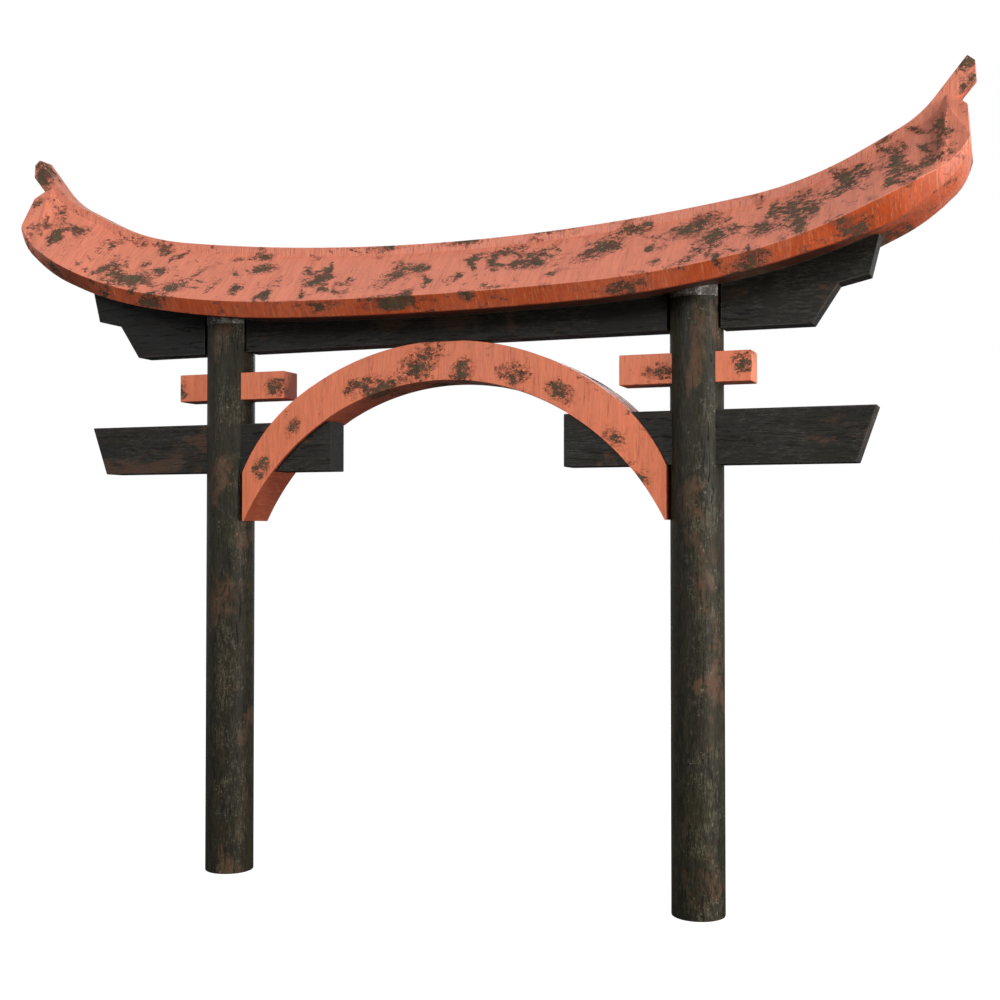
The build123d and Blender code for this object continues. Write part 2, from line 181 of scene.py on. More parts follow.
def roof_corners(x):
    """Corners (y, z) of the back half of the roof at each x."""
    x = np.abs(np.asarray(x, float))
    past_post = x - HALF_SPAN
    top, sine = line_at(RIDGE_HEIGHT, RIDGE_SWEEP, x)
    cosine = np.sqrt(1 - sine**2)
    bottom, _ = line_at(RIDGE_HEIGHT - RIDGE_DEPTH, RIDGE_UNDERSIDE, x)
    bare = ease(past_post, *RIDGE_BARE_SPAN)
    showing = RIDGE_SHOWING + (RIDGE_DEPTH - RIDGE_SHOWING) * bare
    run = np.clip(past_post - EAVE_TAPER_START, 0, EAVE_TAPER_RADIUS)
    narrowing = EAVE_TAPER_RADIUS - np.sqrt(EAVE_TAPER_RADIUS**2 - run**2)
    eave_y = np.maximum(EAVE_HALF_WIDTH - narrowing, END_HALF_WIDTH)
    sill_y = SILL_HALF_WIDTH - (SILL_HALF_WIDTH - END_HALF_WIDTH) * ease(past_post, *SILL_TAPER)
    eave_z, _ = line_at(EAVE_HEIGHT, EAVE_SWEEP, x)
    sill_z, _ = line_at(SILL_HEIGHT, SILL_SWEEP, x)
    slope_z = np.where(bare >= 1, bottom, top - showing / cosine)
    lip = ease(past_post, *LIP_SPAN)
    turn = np.clip((past_post - GABLE_RIM) / LIP_CORNER[0] + 1, 0, 1)
    corner = 1 - np.sqrt(1 - turn**2)
    lip_width = EAVE_BOARD + LIP_EXTRA_WIDTH * lip + LIP_CORNER[1] * corner
    pitch = (slope_z - eave_z) / (eave_y - RIDGE_HALF_WIDTH)
    valley_z = eave_z + lip_width * pitch - LIP_DROP * lip
    wall = ease(turn, 0.76, 1)
    lip_z = valley_z + (LIP_DROP + RIM_RISE) * wall
    dip = DISH_DIP * ease(turn, 0, 0.74) * (1 - wall)
    lip_y = eave_y - lip_width
    inner_y = sill_y - EAVE_BOARD
    inner_z = soffit_at(x, inner_y)
    thickness = SLOPE_BOARD / cosine
    edge_share = thickness / (lip_z - inner_z)
    foot = RIDGE_HALF_WIDTH + 0 * x
    dish = {}
    for strip in range(DISH_STRIPS + 1):
        share = strip / DISH_STRIPS
        level = slope_z + (valley_z - slope_z) * share + (lip_z - valley_z) * share**3
        rise = RIM_RISE + RIM_TOP_RISE * (1 - share)
        level = level + (rise * wall - dip * min(1, 4 * share)) * (1 - share**3)
        dish["dish_%d" % strip] = (foot + (lip_y - foot) * share, level)
    return dish | {
        "ridge_top": (foot, top),
        "ridge_foot": (foot, bottom),
        "slope_top": (foot, slope_z),
        "slope_top_under": (foot, slope_z - thickness),
        "slope_end": (lip_y, lip_z),
        "slope_end_under": (lip_y + (inner_y - lip_y) * edge_share, lip_z - thickness),
        "eave": (eave_y, eave_z),
        "sill": (sill_y, sill_z),
        "sill_inner": (inner_y, inner_z),
        "sill_inner_top": (inner_y, inner_z + SOFFIT_BOARD),
        "soffit": (0 * x, soffit_at(x, 0)),
        "soffit_top": (0 * x, soffit_at(x, 0) + SOFFIT_BOARD),
    }


DISH_NAMES = ["dish_%d" % strip for strip in range(DISH_STRIPS + 1)]
print("the roof is", round(2 * EAVE_HALF_WIDTH, 2), "m deep at its eaves")

# %% [markdown]
# Almost every piece here is a timber with a changing cross-section, so one helper builds them all: it
# takes rings of corners, one ring for each place along the piece, skins them with quads, and closes
# the ends. Sliced cubes with modifiers would also work, but then the curved roof would have to be
# bent afterwards. Long faces are cut fine enough to carry weathering values on their vertices, and
# each corner says how strongly its arris is rounded.

# %% Skin rings of corners into a timber
ARRIS = 0.005


def skin(bm, rings, cuts, soft, ends=(1, 1), mirrored=False):
    """Rings is (places, corners, 3) about mid span. Cuts and soft have one entry for each corner:
    how many strips its side is cut in, and its arris: 0 to 1, or None for one that isn't there."""
    rings = np.asarray(rings, float)
    ring, at_corner = [], {}
    for corner, strips in enumerate(cuts):
        after = (corner + 1) % len(cuts)
        at_corner[len(ring)] = soft[corner]
        for strip in range(strips):
            share = strip / strips
            ring.append(rings[:, corner] * (1 - share) + rings[:, after] * share)
    points = np.stack(ring, axis=1)
    if mirrored:
        points = points * np.array([-1, 1, 1])
    points = points + np.array([MIDDLE, 0, 0])
    weight = bm.edges.layers.float.get("bevel_weight_edge")
    grid = [[bm.verts.new(point) for point in row] for row in points]
    around = len(ring)

    def mark(edge, value):
        if edge is not None and value is not None:
            edge[weight] = value
            edge.smooth = value > 0

    for row, after in zip(grid, grid[1:]):
        for i in range(around):
            j = (i + 1) % around
            bm.faces.new((row[i], row[j], after[j], after[i]))
    for row in (grid[0], grid[-1]):
        bm.faces.new(row)
    for i, value in at_corner.items():
        for row, after in zip(grid, grid[1:]):
            mark(bm.edges.get((row[i], after[i])), value)
    for row, value in ((grid[0], ends[0]), (grid[-1], ends[1])):
        for i in range(around):
            mark(bm.edges.get((row[i], row[(i + 1) % around])), value)
    return grid


def timber(name, build, slot, arris=ARRIS):
    """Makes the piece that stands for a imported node, with rounded arrises."""
    bm = bmesh.new()
    bm.edges.layers.float.new("bevel_weight_edge")
    build(bm)
    bmesh.ops.remove_doubles(bm, verts=bm.verts, dist=1e-6)
    bmesh.ops.recalc_face_normals(bm, faces=bm.faces)
    for face in bm.faces:
        face.smooth = True
    mesh = bpy.data.meshes.new(name)
    bm.to_mesh(mesh)
    bm.free()
    piece = bpy.data.objects.new("made_" + name, mesh)
    bpy.context.scene.collection.objects.link(piece)
    rounding = piece.modifiers.new("arris", "BEVEL")
    rounding.width = arris
    rounding.segments = 2
    rounding.limit_method = "WEIGHT"
    rounding.harden_normals = True
    shown = bpy.context.evaluated_depsgraph_get()
    rounded = bpy.data.meshes.new_from_object(piece.evaluated_get(shown))
    piece.modifiers.clear()
    piece.data = rounded
    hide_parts(name)
    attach(piece, "root")
    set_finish(piece, slot)
    return piece


pieces = {}


def places(start, end, step=0.02):
    """Evenly spaced places along a timber, ends included."""
    return np.linspace(start, end, max(2, round(abs(end - start) / step) + 1))


print("arrises are rounded by", ARRIS * 1000, "mm")

# %% [markdown]
# The roof's boards follow the long lines in three lengths: one over the posts and the middle, and one
# beyond each joint. Only corners that show as an arris are rounded. Where two boards lie flush, the
# edge stays square, so that the paint reads as one surface.

# %% Roof boards
JOINT = HALF_SPAN + ROOF_JOINT
ROOF_END = HALF_SPAN + GABLE_INNER
CENTRE = places(-JOINT, JOINT)
END = np.concatenate([places(JOINT, HALF_SPAN + 1.2)[:-1], places(HALF_SPAN + 1.2, ROOF_END, 0.008)])


def rings_at(x, corners):
    """Rings from (y, z) arrays at each x."""
    return np.stack([np.stack([x, y, z], axis=1) for y, z in corners], axis=1)


def along_roof(x, names, side):
    corners = roof_corners(x)
    return rings_at(x, [(side * corners[name][0], corners[name][1]) for name in names])


def in_three(label, make, slot):
    """The centre length and both ends of a board."""
    pieces[label + "_centre"] = timber(label + "_centre", lambda bm: make(bm, CENTRE, False), slot)
    for end, mirrored in (("_left", True), ("_right", False)):
        pieces[label + end] = timber(label + end, lambda bm, m=mirrored: make(bm, END, m), slot)


def slope(side):
    names = DISH_NAMES + ["slope_end_under", "slope_top_under"]
    soft = [0] + [None] * (DISH_STRIPS - 1) + [0, 0, 0]
    return lambda bm, x, mirrored: skin(
        bm, along_roof(x, names, side), [1] * len(names), soft, (0, 0), mirrored
    )


def eave(side):
    names = ("slope_end", "eave", "sill", "sill_inner")
    return lambda bm, x, mirrored: skin(
        bm, along_roof(x, names, side), (5, 6, 1, 1), (0, 1, 1, 0), (0, 0), mirrored
    )


def soffit(bm, x, mirrored):
    corners = roof_corners(x)
    names = ("soffit", "sill_inner", "sill_inner_top", "soffit_top")
    half = [corners[name] for name in names]
    ring = half + [(-corners[n][0], corners[n][1]) for n in ("sill_inner_top", "sill_inner")]
    skin(bm, rings_at(x, ring), (4, 1, 1, 1, 1, 4), (None, 0, 0, None, 0, 0), (0, 0), mirrored)


for face, side in (("front", -1), ("back", 1)):
    in_three(face + "_slope", slope(side), "roof_paint")
    in_three(face + "_eave", eave(side), "roof_paint")
in_three("soffit", soffit, "roof_paint")
print("roof boards:", len(pieces))

# %% [markdown]
# The ridge bar is a squared timber in three lengths, sawn to the sweep. It runs on past the gables
# and ends in a face square to its own slope, cut back underneath. Its last rings are set by those
# two cuts.

# %% Ridge bar


def ridge(bm, x, mirrored, tip=False):
    corners = roof_corners(x)
    top_z = corners["ridge_top"][1]
    foot_z = corners["ridge_foot"][1]
    uppers = list(zip(x, top_z))
    lowers = list(zip(x, foot_z))
    if tip:
        end = HALF_SPAN + RIDGE_SWEEP[-1][1]
        height, sine = line_at(RIDGE_HEIGHT, RIDGE_SWEEP, end)
        along = np.array([math.sqrt(1 - sine**2), float(sine)])
        down = np.array([along[1], -along[0]])
        corner = np.array([end, float(height)])
        face_foot = corner + down * RIDGE_TIP_FACE
        heel = corner + down * RIDGE_DEPTH - along * RIDGE_TIP_CUT
        for share in (0.25, 0.5, 0.75, 1):
            uppers.append(np.array(uppers[len(x) - 1]) * (1 - share) + corner * share)
            lowers.append(np.array(lowers[len(x) - 1]) * (1 - share) + heel * share)
        uppers.append(face_foot)
        lowers.append(heel)
    rings = [
        [(lx, -w, lz), (lx, w, lz), (ux, w, uz), (ux, -w, uz)]
        for (ux, uz), (lx, lz) in zip(uppers, lowers)
        for w in (RIDGE_HALF_WIDTH,)
    ]
    grid = skin(bm, rings, (1, 6, 5, 6), (0, 0, 1, 1), (0, 1 if tip else 0), mirrored)
    if tip:
        weight = bm.edges.layers.float.get("bevel_weight_edge")
        for one, two in zip(grid[-2][7:12], grid[-2][8:13]):
            bm.edges.get((one, two))[weight] = 1


pieces["ridge_centre"] = timber("ridge_centre", lambda bm: ridge(bm, CENTRE, False), "roof_paint")
pieces["ridge_right"] = timber("ridge_right", lambda bm: ridge(bm, END, False, True), "roof_paint")
pieces["ridge_left"] = timber("ridge_left", lambda bm: ridge(bm, END, True, True), "roof_paint")
print("ridge bar built in 3 lengths")

# %% [markdown]
# A gable board closes each end of the roof. Its inner side curves up from the slopes into a rim, as
# if dished with an adze, and its outer face leans in towards the ridge. Many narrow rings give the
# dished side its curve.

# %% Gable boards
GABLE_TOP_DROP = 0.014
GABLE_TOP_BEVEL = (-0.028, 0.06)
GABLE_BEVEL_HALF_WIDTH = 0.112
GABLE_EAVE_RISE = 0.014
GABLE_LEAN = 0.068
GABLE_SWELL = 0.022


def gable_ring(half):
    """A ring from (x, y, z) points that run up the back half, mirrored to the front."""
    return half + [(x, -y, z) for x, y, z in reversed(half) if y > 1e-9]


def gable(bm, mirrored):
    dish = DISH_NAMES[::-1]
    rings = []
    for share in np.linspace(0, 1, 9):
        x = HALF_SPAN + GABLE_INNER + (GABLE_RIM - GABLE_INNER) * share
        corners = roof_corners(x)
        half = [corners[name] for name in ["soffit", "sill", "eave"] + dish]
        rings.append(gable_ring([(x, float(y), float(z)) for y, z in half]))
    rim = {n: (float(y), float(z)) for n, (y, z) in roof_corners(HALF_SPAN + GABLE_EDGE).items()}
    end = {n: (float(y), float(z)) for n, (y, z) in roof_corners(HALF_SPAN + GABLE_OUTER).items()}
    top_z = rim["ridge_foot"][1] - GABLE_TOP_DROP
    bevel_z = top_z - GABLE_TOP_BEVEL[1]
    shoulder = (END_HALF_WIDTH, rim["eave"][1] + GABLE_EAVE_RISE)
    bevel = (GABLE_BEVEL_HALF_WIDTH, bevel_z)
    foot_z = min(end["soffit"][1], end["sill"][1])
    low = [(HALF_SPAN + GABLE_OUTER - (z - foot_z) * GABLE_LEAN, y, z)
        for y, z in (end["soffit"], end["sill"], shoulder, bevel)]
    top = (HALF_SPAN + GABLE_EDGE + GABLE_TOP_BEVEL[0], RIDGE_HALF_WIDTH, top_z)
    outline = np.array(low[2:] + [top])
    run = np.insert(np.cumsum(np.linalg.norm(np.diff(outline, axis=0), axis=1)), 0, 0)
    along = np.linspace(0.06, 1, len(dish)) * run[-1]
    rise = np.stack([np.interp(along, run, outline[:, axis]) for axis in range(3)], axis=1)
    outer = np.array(gable_ring(low[:3] + [tuple(point) for point in rise]))
    inner = np.array(rings[-1])
    # The lower corner is rounded: the outline swells outwards and down between rim and face.
    swell = np.zeros(outer.shape)
    for index, amount in ((0, 1), (1, 1), (2, 0.5), (-1, 1), (-2, 0.5)):
        swell[index] = np.array([0.6, 0, -0.8]) * GABLE_SWELL * amount
    for share in (0.2, 0.4, 0.6, 0.8):
        between = inner * (1 - share) + outer * share + swell * 4 * share * (1 - share)
        rings.append(between)
    rings.append(outer)
    half_soft = [1, 0.6, 1] + [None] * (len(dish) - 2)
    soft = [None] + half_soft + [0, 0] + half_soft[:0:-1] + [half_soft[0]]
    half_cuts = [6, 8] + [1] * (len(dish) - 1)
    cuts = [8] + half_cuts + [5] + half_cuts[::-1] + [8]
    skin(bm, rings, cuts, soft, (0, 1), mirrored)


for end, mirrored in (("left", True), ("right", False)):
    name = end + "_gable_board"
    pieces[name] = timber(name, lambda bm, m=mirrored: gable(bm, m), "roof_paint", 0.006)
print("gable boards built")

# %% [markdown]
# The posts are round logs, turned smooth. Each side of a cylinder from the menu would be one long
# face. Rings about 100 mm apart and a scribed top, which follows the soffit, make it a real post.

# %% Posts
AROUND_POST = 96


def post(bm, mirrored):
    angles = np.arange(AROUND_POST) * 2 * math.pi / AROUND_POST
    x = HALF_SPAN + POST_RADIUS * np.cos(angles)
    y = POST_RADIUS * np.sin(angles)
    top = soffit_at(x, y) - 0.0005
    rings = [np.stack([x, y, top * share], axis=1) for share in np.linspace(0, 1, 36)]
    cuts = [1] * AROUND_POST
    skin(bm, rings, cuts, [None] * AROUND_POST, (1, 0), mirrored)


for end, mirrored in (("left", True), ("right", False)):
    pieces[end + "_post"] = timber(
        end + "_post", lambda bm, m=mirrored: post(bm, m), "dark_post", 0.007
    )
print("posts built,", AROUND_POST, "sides each")

# %% [markdown]
# A thin worn band wraps each post right under the soffit. The beam interrupts it, so it is two
# curved straps. Small knocks in its surface and edge are made by moving its rings a little, inwards
# only, so that it never grows.

# %% Collars
COLLAR_INNER = POST_RADIUS - 0.001
COLLAR_OUTER = (collar_high.y - collar_low.y) / 2
dents = np.random.default_rng(7)


def collar(bm, mirrored):
    beam_half = (beam_high.y - beam_low.y) / 2
    start = math.asin((beam_half + 0.0005) / COLLAR_OUTER)
    for turn in (0, math.pi):
        angles = np.linspace(turn + start, turn + math.pi - start, 49)
        knock = 0.0016 * dents.random(49)
        worn = 0.004 * dents.random(49)
        rings = []
        for angle, dent, wear in zip(angles, knock, worn):
            across = np.array([math.cos(angle), math.sin(angle)])
            ring = []
            for radius, level in (
                (COLLAR_INNER, collar_low.z),
                (COLLAR_OUTER - dent / 2, collar_low.z + wear),
                (COLLAR_OUTER - dent, (collar_low.z + collar_high.z) / 2),
                (COLLAR_OUTER - dent / 2, collar_high.z),
                (COLLAR_INNER, collar_high.z),
            ):
                x, y = across * radius
                level = min(level, float(soffit_at(HALF_SPAN + x, y)) - 0.0005)
                ring.append((HALF_SPAN + x, y, level))
            rings.append(ring)
        skin(bm, rings, (1, 1, 1, 1, 1), (0, 1, None, 1, 0), (1, 1), mirrored)


for end, mirrored in (("left", True), ("right", False)):
    pieces[end + "_collar"] = timber(
        end + "_collar", lambda bm, m=mirrored: collar(bm, m), "collar", 0.0012
    )
print("collars are", round((COLLAR_OUTER - POST_RADIUS) * 1000, 1), "mm proud of the posts")

# %% [markdown]
# The upper beam lies under the soffit, in three lengths that butt against the posts. Its outer ends
# are cut to a stepped profile that leans outwards. The profile is a height for the underside at each
# place along the beam, and the beam ends where that meets its own level top, just under the soffit.

# %% Upper beam
BEAM_UNDER = beam_low.z
BEAM_HALF_DEPTH = (beam_high.y - beam_low.y) / 2
STEP_PLACES = (0.647, 0.785, 0.95, 1.002)
STEP_LEVELS = (0, 0.21, 0.248, 0.458)


def beam_rings(x, under):
    side = np.minimum(soffit_at(x, BEAM_HALF_DEPTH) - 0.0005, BEAM_UNDER + STEP_LEVELS[-1])
    middle = np.minimum(soffit_at(x, 0) - 0.0005, BEAM_UNDER + STEP_LEVELS[-1])
    d = BEAM_HALF_DEPTH + 0 * x
    corners = [(-d, under), (d, under), (d, side), (0 * x, middle), (-d, side)]
    return rings_at(x, [(y, np.minimum(z, np.maximum(middle, under))) for y, z in corners])


def beam_centre(bm):
    x = places(-(HALF_SPAN - POST_RADIUS), HALF_SPAN - POST_RADIUS, 0.05)
    skin(bm, beam_rings(x, BEAM_UNDER + 0 * x), (4, 4, 2, 2, 4), (1, 1, 0, None, 0), (1, 1))


def beam_end(bm, mirrored):
    start = HALF_SPAN + POST_RADIUS
    steps = [HALF_SPAN + step for step in STEP_PLACES]

    def underside(x):
        return BEAM_UNDER + np.interp(x, steps, STEP_LEVELS)

    x = [places(start, steps[0], 0.05), places(steps[0], steps[1], 0.03)[1:]]
    x += [places(steps[1], steps[2], 0.04)[1:], places(steps[2], steps[3], 0.013)[1:]]
    x = np.concatenate(x)
    rings = beam_rings(x, underside(x))
    grid = skin(bm, rings, (4, 4, 2, 2, 4), (1, 1, 0, None, 0), (1, 0), mirrored)
    weight = bm.edges.layers.float.get("bevel_weight_edge")
    for step in (0, 2):
        row = grid[int(np.argmin(np.abs(x - steps[step])))]
        for one, two in zip(row[:4], row[1:5]):
            bm.edges.get((one, two))[weight] = 1
    row = grid[int(np.argmin(np.abs(x - steps[1])))]
    for one, two in zip(row[:4], row[1:5]):
        bm.edges.get((one, two)).smooth = False


pieces["upper_beam_centre"] = timber("upper_beam_centre", beam_centre, "dark_beam", 0.006)
for end, mirrored in (("left", True), ("right", False)):
    name = "upper_beam_" + end
    pieces[name] = timber(name, lambda bm, m=mirrored: beam_end(bm, m), "dark_beam", 0.006)
print("upper beam is", round(2 * BEAM_HALF_DEPTH * 1000), "mm deep from front to back")

# %% [markdown]
# The tie beams and the short bars are plain sawn timbers. The tie beam's outer end is cut at a slant,
# longer at the top. Both pass through the posts, as they do on the real gate.

# %% Tie beams and short bars
TIE_END_LEAN = 0.106


def squared(bm, low, high, lean, step, cuts, mirrored):
    """A four-sided timber between two corners of its box, its outer end leaning by lean."""
    share = places(0, high.x - low.x, step) / (high.x - low.x)
    x_low = low.x - MIDDLE + share * (high.x - low.x - lean)
    x_high = low.x - MIDDLE + share * (high.x - low.x)
    rings = [
        [(a, low.y, low.z), (a, high.y, low.z), (b, high.y, high.z), (b, low.y, high.z)]
        for a, b in zip(x_low, x_high)
    ]
    skin(bm, rings, cuts, (1, 1, 1, 1), (1, 1), mirrored)


for end, mirrored in (("left", True), ("right", False)):
    name = end + "_tie_beam"
    pieces[name] = timber(
        name,
        lambda bm, m=mirrored: squared(bm, tie_low, tie_high, TIE_END_LEAN, 0.1, (2, 4, 2, 4), m),
        "dark_beam",
        0.006,
    )
    name = end + "_short_bar"
    pieces[name] = timber(
        name,
        lambda bm, m=mirrored: squared(bm, bar_low, bar_high, 0, 0.02, (8, 8, 8, 8), m),
        "red_paint",
    )
print("tie beams and short bars built")

# %% [markdown]
# The arch is sawn from thick planks in three pieces with radial joints. Its underside is one circle.
# Its back follows a flatter curve that is planed flat at the crown, runs down the haunches, and ends
# in a vertical heel against the post. Each ring lies on a ray from the circle's centre, so the joints
# fall where a carpenter would cut them.

# %% Arch
ARCH_HEEL = HALF_SPAN - POST_RADIUS
ARCH_TOE = ARCH_HEEL - 0.01
ARCH_FOOT = foot_low.z
ARCH_SHOULDER = 2.494
ARCH_INNER_RISE = 0.826
ARCH_HAUNCH = (HALF_SPAN - 0.5, 2.924)
ARCH_CROWN = BEAM_UNDER + 0.006
ARCH_JOINT = math.radians(30)
inner_radius = (ARCH_TOE**2 + ARCH_INNER_RISE**2) / (2 * ARCH_INNER_RISE)
centre_z = ARCH_FOOT + ARCH_INNER_RISE - inner_radius


def arch_back():
    """Points on the arch's back from the crown down to the heel's foot."""
    x0, z0 = ARCH_HAUNCH
    rise = ARCH_CROWN - z0
    radius = (x0**2 + rise**2) / (2 * rise)
    level = ARCH_CROWN - radius
    swing = np.linspace(0, math.asin(x0 / radius), 60)
    points = [(radius * math.sin(a), level + radius * math.cos(a)) for a in swing]
    # the haunch goes on in the crown's direction and bends to the shoulder in one tangent arc
    ahead = np.array([math.cos(swing[-1]), -math.sin(swing[-1])])
    chord = np.array([ARCH_HEEL - x0, ARCH_SHOULDER - z0])
    across = np.array([ahead[1], -ahead[0]])
    bend = chord @ chord / (2 * chord @ across)
    middle = np.array([x0, z0]) + across * bend
    first = math.atan2(*(np.array([x0, z0]) - middle)[::-1])
    last = math.atan2(*(np.array([ARCH_HEEL, ARCH_SHOULDER]) - middle)[::-1])
    for a in np.linspace(first, last, 40)[1:]:
        points.append(tuple(middle + abs(bend) * np.array([math.cos(a), math.sin(a)])))
    points += [(ARCH_HEEL, z) for z in np.linspace(ARCH_SHOULDER, ARCH_FOOT, 20)[1:]]
    return np.array(points)


back = arch_back()
back[:, 1] = np.minimum(back[:, 1], BEAM_UNDER)
back_angle = np.arctan2(back[:, 0], back[:, 1] - centre_z)
toe_angle = math.atan2(ARCH_TOE, ARCH_FOOT - centre_z)


def arch_part(bm, start, end, mirrored=False):
    rings = []
    for angle in places(start, end, 0.02 / inner_radius):
        sign = 1 if angle >= 0 else -1
        x = sign * np.interp(abs(angle), back_angle, back[:, 0])
        z = np.interp(abs(angle), back_angle, back[:, 1])
        if abs(abs(angle) - toe_angle) < 1e-9:
            x, z = sign * ARCH_HEEL, ARCH_FOOT
        inner = (inner_radius * math.sin(angle), centre_z + inner_radius * math.cos(angle))
        rings.append(
            [
                (x, arch_low.y, z),
                (x, arch_high.y, z),
                (inner[0], arch_high.y, inner[1]),
                (inner[0], arch_low.y, inner[1]),
            ]
        )
    rounded_foot = 1 if abs(end) > ARCH_JOINT + 0.01 else 0
    skin(bm, rings, (8, 15, 8, 15), (1, 1, 1, 1), (0, rounded_foot), mirrored)


pieces["arch_crown"] = timber(
    "arch_crown", lambda bm: arch_part(bm, -ARCH_JOINT, ARCH_JOINT), "red_paint"
)
for name, mirrored in (("arch_left", True), ("arch_right", False)):
    pieces[name] = timber(
        name, lambda bm, m=mirrored: arch_part(bm, ARCH_JOINT, toe_angle, m), "red_paint"
    )
print("the arch springs", round(math.degrees(toe_angle), 1), "degrees either side of its crown")

# %% [markdown]
# Paint on old timber lets go in patches a hand or two wide, where water sat. The large patches are
# listed one by one. Each has its distance from the left post, its place in height, its half length,
# half height and tilt in degrees. On the roof the place in height is a share of the way up the slope,
# and below 0 it lies on the eave board. On the other pieces it is a height in metres. Small patches
# are scattered over the roof by a seeded draw. The strengths of all patches are added up on the
# vertices, and the material frays the edges with fine noise. The back takes the same patches, turned
# round and shifted, so that it doesn't mirror the front.

# %% Where the paint has peeled
ROOF_PATCHES = (
    (-1.25, 0.85, 0.05, 0.03, -40), (-1.20, 0.45, 0.06, 0.04, 70), (-1.05, 0.75, 0.06, 0.03, -30),
    (-0.68, 0.35, 0.07, 0.05, -60), (-0.55, 0.20, 0.09, 0.04, -10), (-0.40, 0.45, 0.06, 0.03, 10),
    (-0.22, 0.20, 0.08, 0.04, 20), (0.32, 0.70, 0.08, 0.03, 0), (0.76, 0.45, 0.07, 0.03, 20),
    (1.25, 0.50, 0.10, 0.04, 30), (1.90, 0.85, 0.09, 0.03, 10), (2.10, 0.60, 0.11, 0.05, 20),
    (2.50, 0.65, 0.13, 0.05, 25), (2.65, 0.95, 0.08, 0.03, 10), (3.02, 0.75, 0.14, 0.05, 20),
    (3.15, 0.40, 0.08, 0.04, 20), (3.42, 0.40, 0.07, 0.04, 30), (3.60, 0.55, 0.10, 0.08, 70),
    (3.85, 0.70, 0.08, 0.05, 40), (4.10, 0.55, 0.06, 0.10, 10), (4.32, 0.60, 0.04, 0.07, 0),
    (4.28, 0.20, 0.09, 0.03, 30), (-1.15, -0.20, 0.05, 0.03, -40), (-0.70, -0.20, 0.06, 0.03, -20),
    (-0.35, -0.15, 0.08, 0.03, 0), (0.85, -0.10, 0.08, 0.02, 0), (1.25, -0.10, 0.14, 0.03, 0),
    (2.70, -0.15, 0.09, 0.03, 5), (3.35, -0.20, 0.10, 0.04, 15), (3.90, -0.20, 0.08, 0.03, 25),
)
OTHER_PATCHES = (
    (-1.45, 4.56, 0.10, 0.08, -35), (-1.42, 4.47, 0.05, 0.04, -40), (4.46, 4.57, 0.07, 0.06, -55),
    (4.46, 4.46, 0.04, 0.02, 50), (0.28, 2.52, 0.05, 0.04, 60), (0.50, 2.76, 0.05, 0.03, 50),
    (0.96, 3.00, 0.08, 0.04, 20), (1.10, 2.98, 0.10, 0.03, 25), (1.36, 3.13, 0.11, 0.07, 40),
    (1.62, 3.06, 0.06, 0.05, 70), (1.95, 3.05, 0.07, 0.05, -10), (2.24, 2.92, 0.08, 0.04, -35),
    (2.55, 2.65, 0.06, 0.04, -50), (2.70, 2.42, 0.04, 0.04, -60), (0.37, 3.02, 0.06, 0.04, 0),
    (2.80, 3.02, 0.07, 0.03, 0), (3.27, 3.06, 0.05, 0.04, 60), (-0.33, 3.03, 0.04, 0.06, 0),
    (0.25, 3.84, 0.06, 0.02, 0), (1.10, 3.84, 0.10, 0.02, 0), (1.65, 3.86, 0.12, 0.03, 5),
    (2.15, 3.89, 0.12, 0.03, 5),
)
SMALL_PATCHES = 70
SCATTER_SEED = 29
SCATTER_SPAN = (-1.45, 4.40)
SCATTER_SHARE = (-0.2, 1.0)
SMALL_HALF_LENGTH = (0.02, 0.045)
SMALL_HALF_HEIGHT = (0.01, 0.025)
SMALL_TILT = (-80, 80)
BACK_SHIFT = 0.37


def up_slope(x, share):
    """The height at a share of the way from the eave to the ridge bar, at each x."""
    corners = roof_corners(x - MIDDLE)
    low, high = float(corners["eave"][1]), float(corners["slope_top"][1])
    return low + (high - low) * share


draw = np.random.default_rng(SCATTER_SEED)
PATCHES = [(x, up_slope(x, share), *rest) for x, share, *rest in ROOF_PATCHES]
PATCHES += OTHER_PATCHES
for _ in range(SMALL_PATCHES):
    x = draw.uniform(*SCATTER_SPAN)
    height = up_slope(x, draw.uniform(*SCATTER_SHARE))
    half_sizes = draw.uniform(*SMALL_HALF_LENGTH), draw.uniform(*SMALL_HALF_HEIGHT)
    PATCHES.append((x, height, *half_sizes, draw.uniform(*SMALL_TILT)))


def peeling(points):
    """How far the paint is gone at each point: 0.5 at a patch's outline, more inside."""
    x = np.where(points[:, 1] > 0.02, 2 * MIDDLE - points[:, 0] + BACK_SHIFT, points[:, 0])
    z = points[:, 2]
    total = np.zeros(len(points))
    for px, pz, half_length, half_height, tilt in PATCHES:
        near = (np.abs(x - px) < 0.5) & (np.abs(z - pz) < 0.5)
        dx, dz = x[near] - px, z[near] - pz
        cos, sin = math.cos(math.radians(tilt)), math.sin(math.radians(tilt))
        u = (dx * cos + dz * sin) / half_length
        v = (dz * cos - dx * sin) / half_height
        total[near] += np.exp2(-(u * u + v * v))
    return np.minimum(total, 1.5)


def store(piece, name, values):
    layer = piece.data.attributes.get(name) or piece.data.attributes.new(name, "FLOAT", "POINT")
    layer.data.foreach_set("value", np.asarray(values, np.float32))


def vertex_places(piece):
    found = np.empty(len(piece.data.vertices) * 3, np.float32)
    piece.data.vertices.foreach_get("co", found)
    return found.reshape(-1, 3)


# Painted shade, kept as a value on the vertices: it darkens the soffit up to its swept ends and the
# upper beam, most at its left end, as shade under the roof, and the dished end at the right, as shade in
# its hollow.
SOFFIT_SHADE, SOFFIT_SHADE_FADE = 0.9, (0.7, 1.1)
DISH_SHADE, DISH_SHADE_START = 0.42, (1.14, 1.29)
RIM_EDGE = 0.006
BEAM_SHADE = {"upper_beam_left": 0.88, "upper_beam_centre": 0.35, "upper_beam_right": 0.08}

